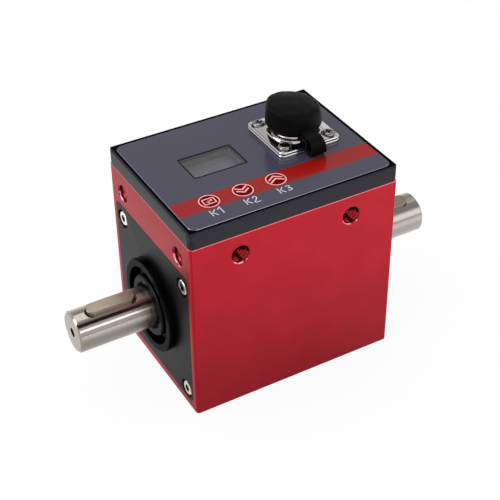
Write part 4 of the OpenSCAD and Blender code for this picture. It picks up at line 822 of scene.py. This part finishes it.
def maskLens(form):
    mesh = mergedCopy("lens")
    (x, y), (w, h) = windowMiddle, form["opening"]
    share = Vector((form["lens"][0] / form["cadLens"][0], form["lens"][1] / form["cadLens"][1], 1))
    bmesh.ops.scale(mesh, vec=share, space=Matrix.Translation((-x * mm, -y * mm, 0)), verts=mesh.verts[:])
    for middle, size, normal in ((x, w, Vector((1, 0, 0))), (y, h, Vector((0, 1, 0)))):
        for way in (-1, 1):
            cutAt(mesh, normal * (middle + way * size / 2), normal)
    for face in mesh.faces:   # ink on the underside round the display, and on the sides
        centre = face.calc_center_median() / mm
        clear = abs(centre.x - x) < w / 2 and abs(centre.y - y) < h / 2
        if abs(face.normal.z) < 0.5 or (face.normal.z < 0 and not clear):
            face.material_index = 1
    return mesh


makePiece("windowLens", maskLens(bezelForm), "sensor_body",
          ["clear_lens", "lensMask"], ["lens"])
makePiece("displayBezel", buildBezel(bezelForm), "sensor_body", ["bezelPlastic"])
print("display framed")


# Connector shell: nickel plated, with a thread on the neck below the cap
neckForm = {"outer": 8.0, "inner": 7.5, "truth": 0.05, "sunk": 0.05, "foot": 79.3, "low": 80.0, "turns": 4,
            "pitch": 1.0, "crest": 0.12, "steps": 48}
flangeForm = {"top": 79.1, "border": 9.2, "fall": 0.17, "depth": 0.5}


def slopeFlange(mesh, form):   # the flange's border falls away from a crease
    top, border = form["top"], form["border"]
    for middle, normal in zip(connectorAxis, (Vector((1, 0, 0)), Vector((0, 1, 0)))):
        for way in (-1, 1):
            cut = [face for face in mesh.faces if face.normal.z > 0.99
                   and abs(face.calc_center_median().z / mm - top) < slack]
            parts = list({part for face in cut for part in list(face.verts) + list(face.edges) + [face]})
            cutAt(mesh, normal * (middle + way * border), normal, parts)
    for vert in mesh.verts:
        out = fromConnector(vert.co) - border
        if out > 0 and top - form["depth"] < vert.co.z / mm < top + slack:
            vert.co.z -= form["fall"] * out * mm


def buildShell(form, flange):
    mesh = mergedCopy("connector_shell")
    roundRim(mesh, rimForm["connector_shell"])
    slopeFlange(mesh, flange)
    cx, cy = connectorAxis
    for vert in mesh.verts:   # the neck is drawn in to the thread's root
        dx, dy = vert.co.x - cx * mm, vert.co.y - cy * mm
        reach = hypot(dx, dy)
        if abs(reach / mm - form["outer"]) < form["truth"] and vert.co.z / mm > form["foot"]:
            pull = form["inner"] * mm / reach
            vert.co.x, vert.co.y = cx * mm + dx * pull, cy * mm + dy * pull
    ridge = turnThread(form, form["inner"] - form["sunk"], form["outer"], form["low"], form["turns"])
    bmesh.ops.translate(ridge, verts=ridge.verts[:], vec=(cx * mm, cy * mm, 0))
    return joinMeshes([mesh, ridge])


shell, shellLooks = buildShell(neckForm, flangeForm), ["nickel_plate"]
shadeFaces(shell, shellLooks, ownFaces["connector_shell"])
makePiece("connectorShell", shell, "sensor_body", shellLooks, ["connector_shell"], sharp=8.5)
print("connector threaded")


# Dust cap: soft crown that leans to one side, strap and ring in one moulding
capForm = {"radius": 9.85, "low": 82.05, "lip": 0.35, "lipBend": 0.1, "cavity": 8.15, "ceiling": 85.45,
           "cavityEdge": 0.4, "cavitySkin": 0.1, "mouthEdge": 0.3, "rim": 1.6, "level": 86.7, "steps": 112,
           "crownRadius": 33, "crownTop": 90.68, "lean": (-4.28, 1.39),
           "lump": 0.42, "lumps": 0.28, "lumpCore": 4, "lumpSink": 3}
ringForm = {"inner": 8.15, "outer": 8.85, "low": 80.6, "high": 81.9, "edge": 0.2, "steps": 72}
# Strap seen from the side: distance from the axis and height, with the middle and radius of each bend
strapForm = {"width": 6, "thick": 1.3, "taper": 1.6, "taperLead": 3, "edge": 0.3,
             "fromRing": [(8.4, 81.25), (10.2, 81.25)], "bend": (11.7, 79.95, 1.3),
             "loop": (14.825, 79.225, 1.825), "climb": (13.65, 80.35, 3),
             "toCap": [(12.2, 83.35), (9.2, 83.35)]}


def crownHeight(form, x, y):
    away = hypot(x - form["lean"][0], y - form["lean"][1])
    return form["crownTop"] - form["crownRadius"] + sqrt(form["crownRadius"] ** 2 - away ** 2)


def turnProfile(profile, steps):
    mesh = bmesh.new()
    corners, edges = drawLine(mesh, [(r, 0, z) for r, z in profile])
    bmesh.ops.spin(mesh, geom=corners + edges, cent=(0, 0, 0), axis=(0, 0, 1), angle=2 * pi, steps=steps,
                   use_merge=True)
    bmesh.ops.remove_doubles(mesh, verts=mesh.verts[:], dist=weld)
    bmesh.ops.recalc_face_normals(mesh, faces=mesh.faces[:])
    return mesh


def buildCrown(form):
    r, low, level, rim = form["radius"], form["low"], form["level"], form["rim"]
    cavity, ceiling, lip = form["cavity"], form["ceiling"], form["lip"]
    side, shoulder = low + lip, level - rim   # the straight side runs between these heights
    profile = [(0, ceiling), (cavity - form["cavityEdge"], ceiling), (cavity, ceiling - form["cavityEdge"]),
               (cavity, low + form["mouthEdge"]), (cavity + form["mouthEdge"], low), (r - lip, low),
               (r - form["lipBend"], low + form["lipBend"]), (r, side)]
    profile += [(r, side + (shoulder - side) * i / 5) for i in range(1, 6)]
    profile += arcPoints(r - rim, shoulder, rim, [90 * i / 7 for i in range(1, 8)])
    profile += [((r - rim) * (1 - i / 7), level) for i in range(1, 8)]
    mesh = turnProfile(profile, form["steps"])
    for vert in mesh.verts:
        x, y, z = vert.co / mm
        reach = hypot(x, y)
        if z <= side or (reach < cavity + form["cavitySkin"] and z <= ceiling + slack):
            continue   # lip and cavity stay true
        share = min(1, (z - side) / (shoulder - side))
        z += share * (crownHeight(form, x, y) - level)
        lump = form["lump"] * (noise.noise(Vector((x, y, z)) * form["lumps"]) * 0.5 + 0.5) * share
        pull = 1 - lump / max(reach, form["lumpCore"])   # lumps draw in the side and sink the top
        sink = lump * min(1, form["lumpSink"] / (reach + 1))
        vert.co = Vector((x * pull, y * pull, z - sink)) * mm
    return mesh


def buildRing(form):
    inner, outer, low, high, edge = [form[key] for key in ("inner", "outer", "low", "high", "edge")]
    profile = [(inner, low + edge), (inner + edge, low), (outer - edge, low), (outer, low + edge),
               (outer, high - edge), (outer - edge, high), (inner + edge, high), (inner, high - edge),
               (inner, low + edge)]
    return turnProfile(profile, form["steps"])


def buildStrap(form):
    centre = form["fromRing"] + arcPoints(*form["bend"], range(90, -1, -15))
    centre += arcPoints(*form["loop"], range(180, 361, 12))
    rise = len(centre)
    centre += arcPoints(*form["climb"], range(0, 91, 10)) + form["toCap"]
    half = form["thick"] / 2
    path = []   # one face of the strap
    for i, (d, z) in enumerate(centre):
        before, after = centre[max(0, i - 1)], centre[min(len(centre) - 1, i + 1)]
        along = Vector((after[0] - before[0], after[1] - before[1])).normalized()
        path.append((d + along.y * half, z - along.x * half))
    mesh = bmesh.new()
    edges = drawLine(mesh, [(-form["width"] / 2, -d, z) for d, z in path])[1]
    sheet = bmesh.ops.extrude_edge_only(mesh, edges=edges)["geom"]
    lead = form["taperLead"]
    for vert in onlyKind(sheet, bmesh.types.BMVert):   # the far edge draws in towards the cap
        away = [hypot(d * mm + vert.co.y, z * mm - vert.co.z) for d, z in path]
        step = away.index(min(away))
        share = max(0, step - rise + lead) / (len(path) - rise + lead - 1)
        bmesh.ops.translate(mesh, verts=[vert], vec=((form["width"] - form["taper"] * share) * mm, 0, 0))
    bmesh.ops.solidify(mesh, geom=mesh.faces[:], thickness=form["thick"] * mm)
    bmesh.ops.recalc_face_normals(mesh, faces=mesh.faces[:])
    sharp = [edge for edge in mesh.edges if edge.calc_face_angle(0) > radians(60)]
    bevelEdges(mesh, sharp, form["edge"], segments=3)
    return mesh


dustCap = joinMeshes([buildCrown(capForm), buildRing(ringForm), buildStrap(strapForm)])
bmesh.ops.translate(dustCap, verts=dustCap.verts[:], vec=(connectorAxis[0] * mm, connectorAxis[1] * mm, 0))
makePiece("dustCap", dustCap, "cap", ["cap_rubber"], ["dust_cap"], sharp=50)
print("dust cap moulded")
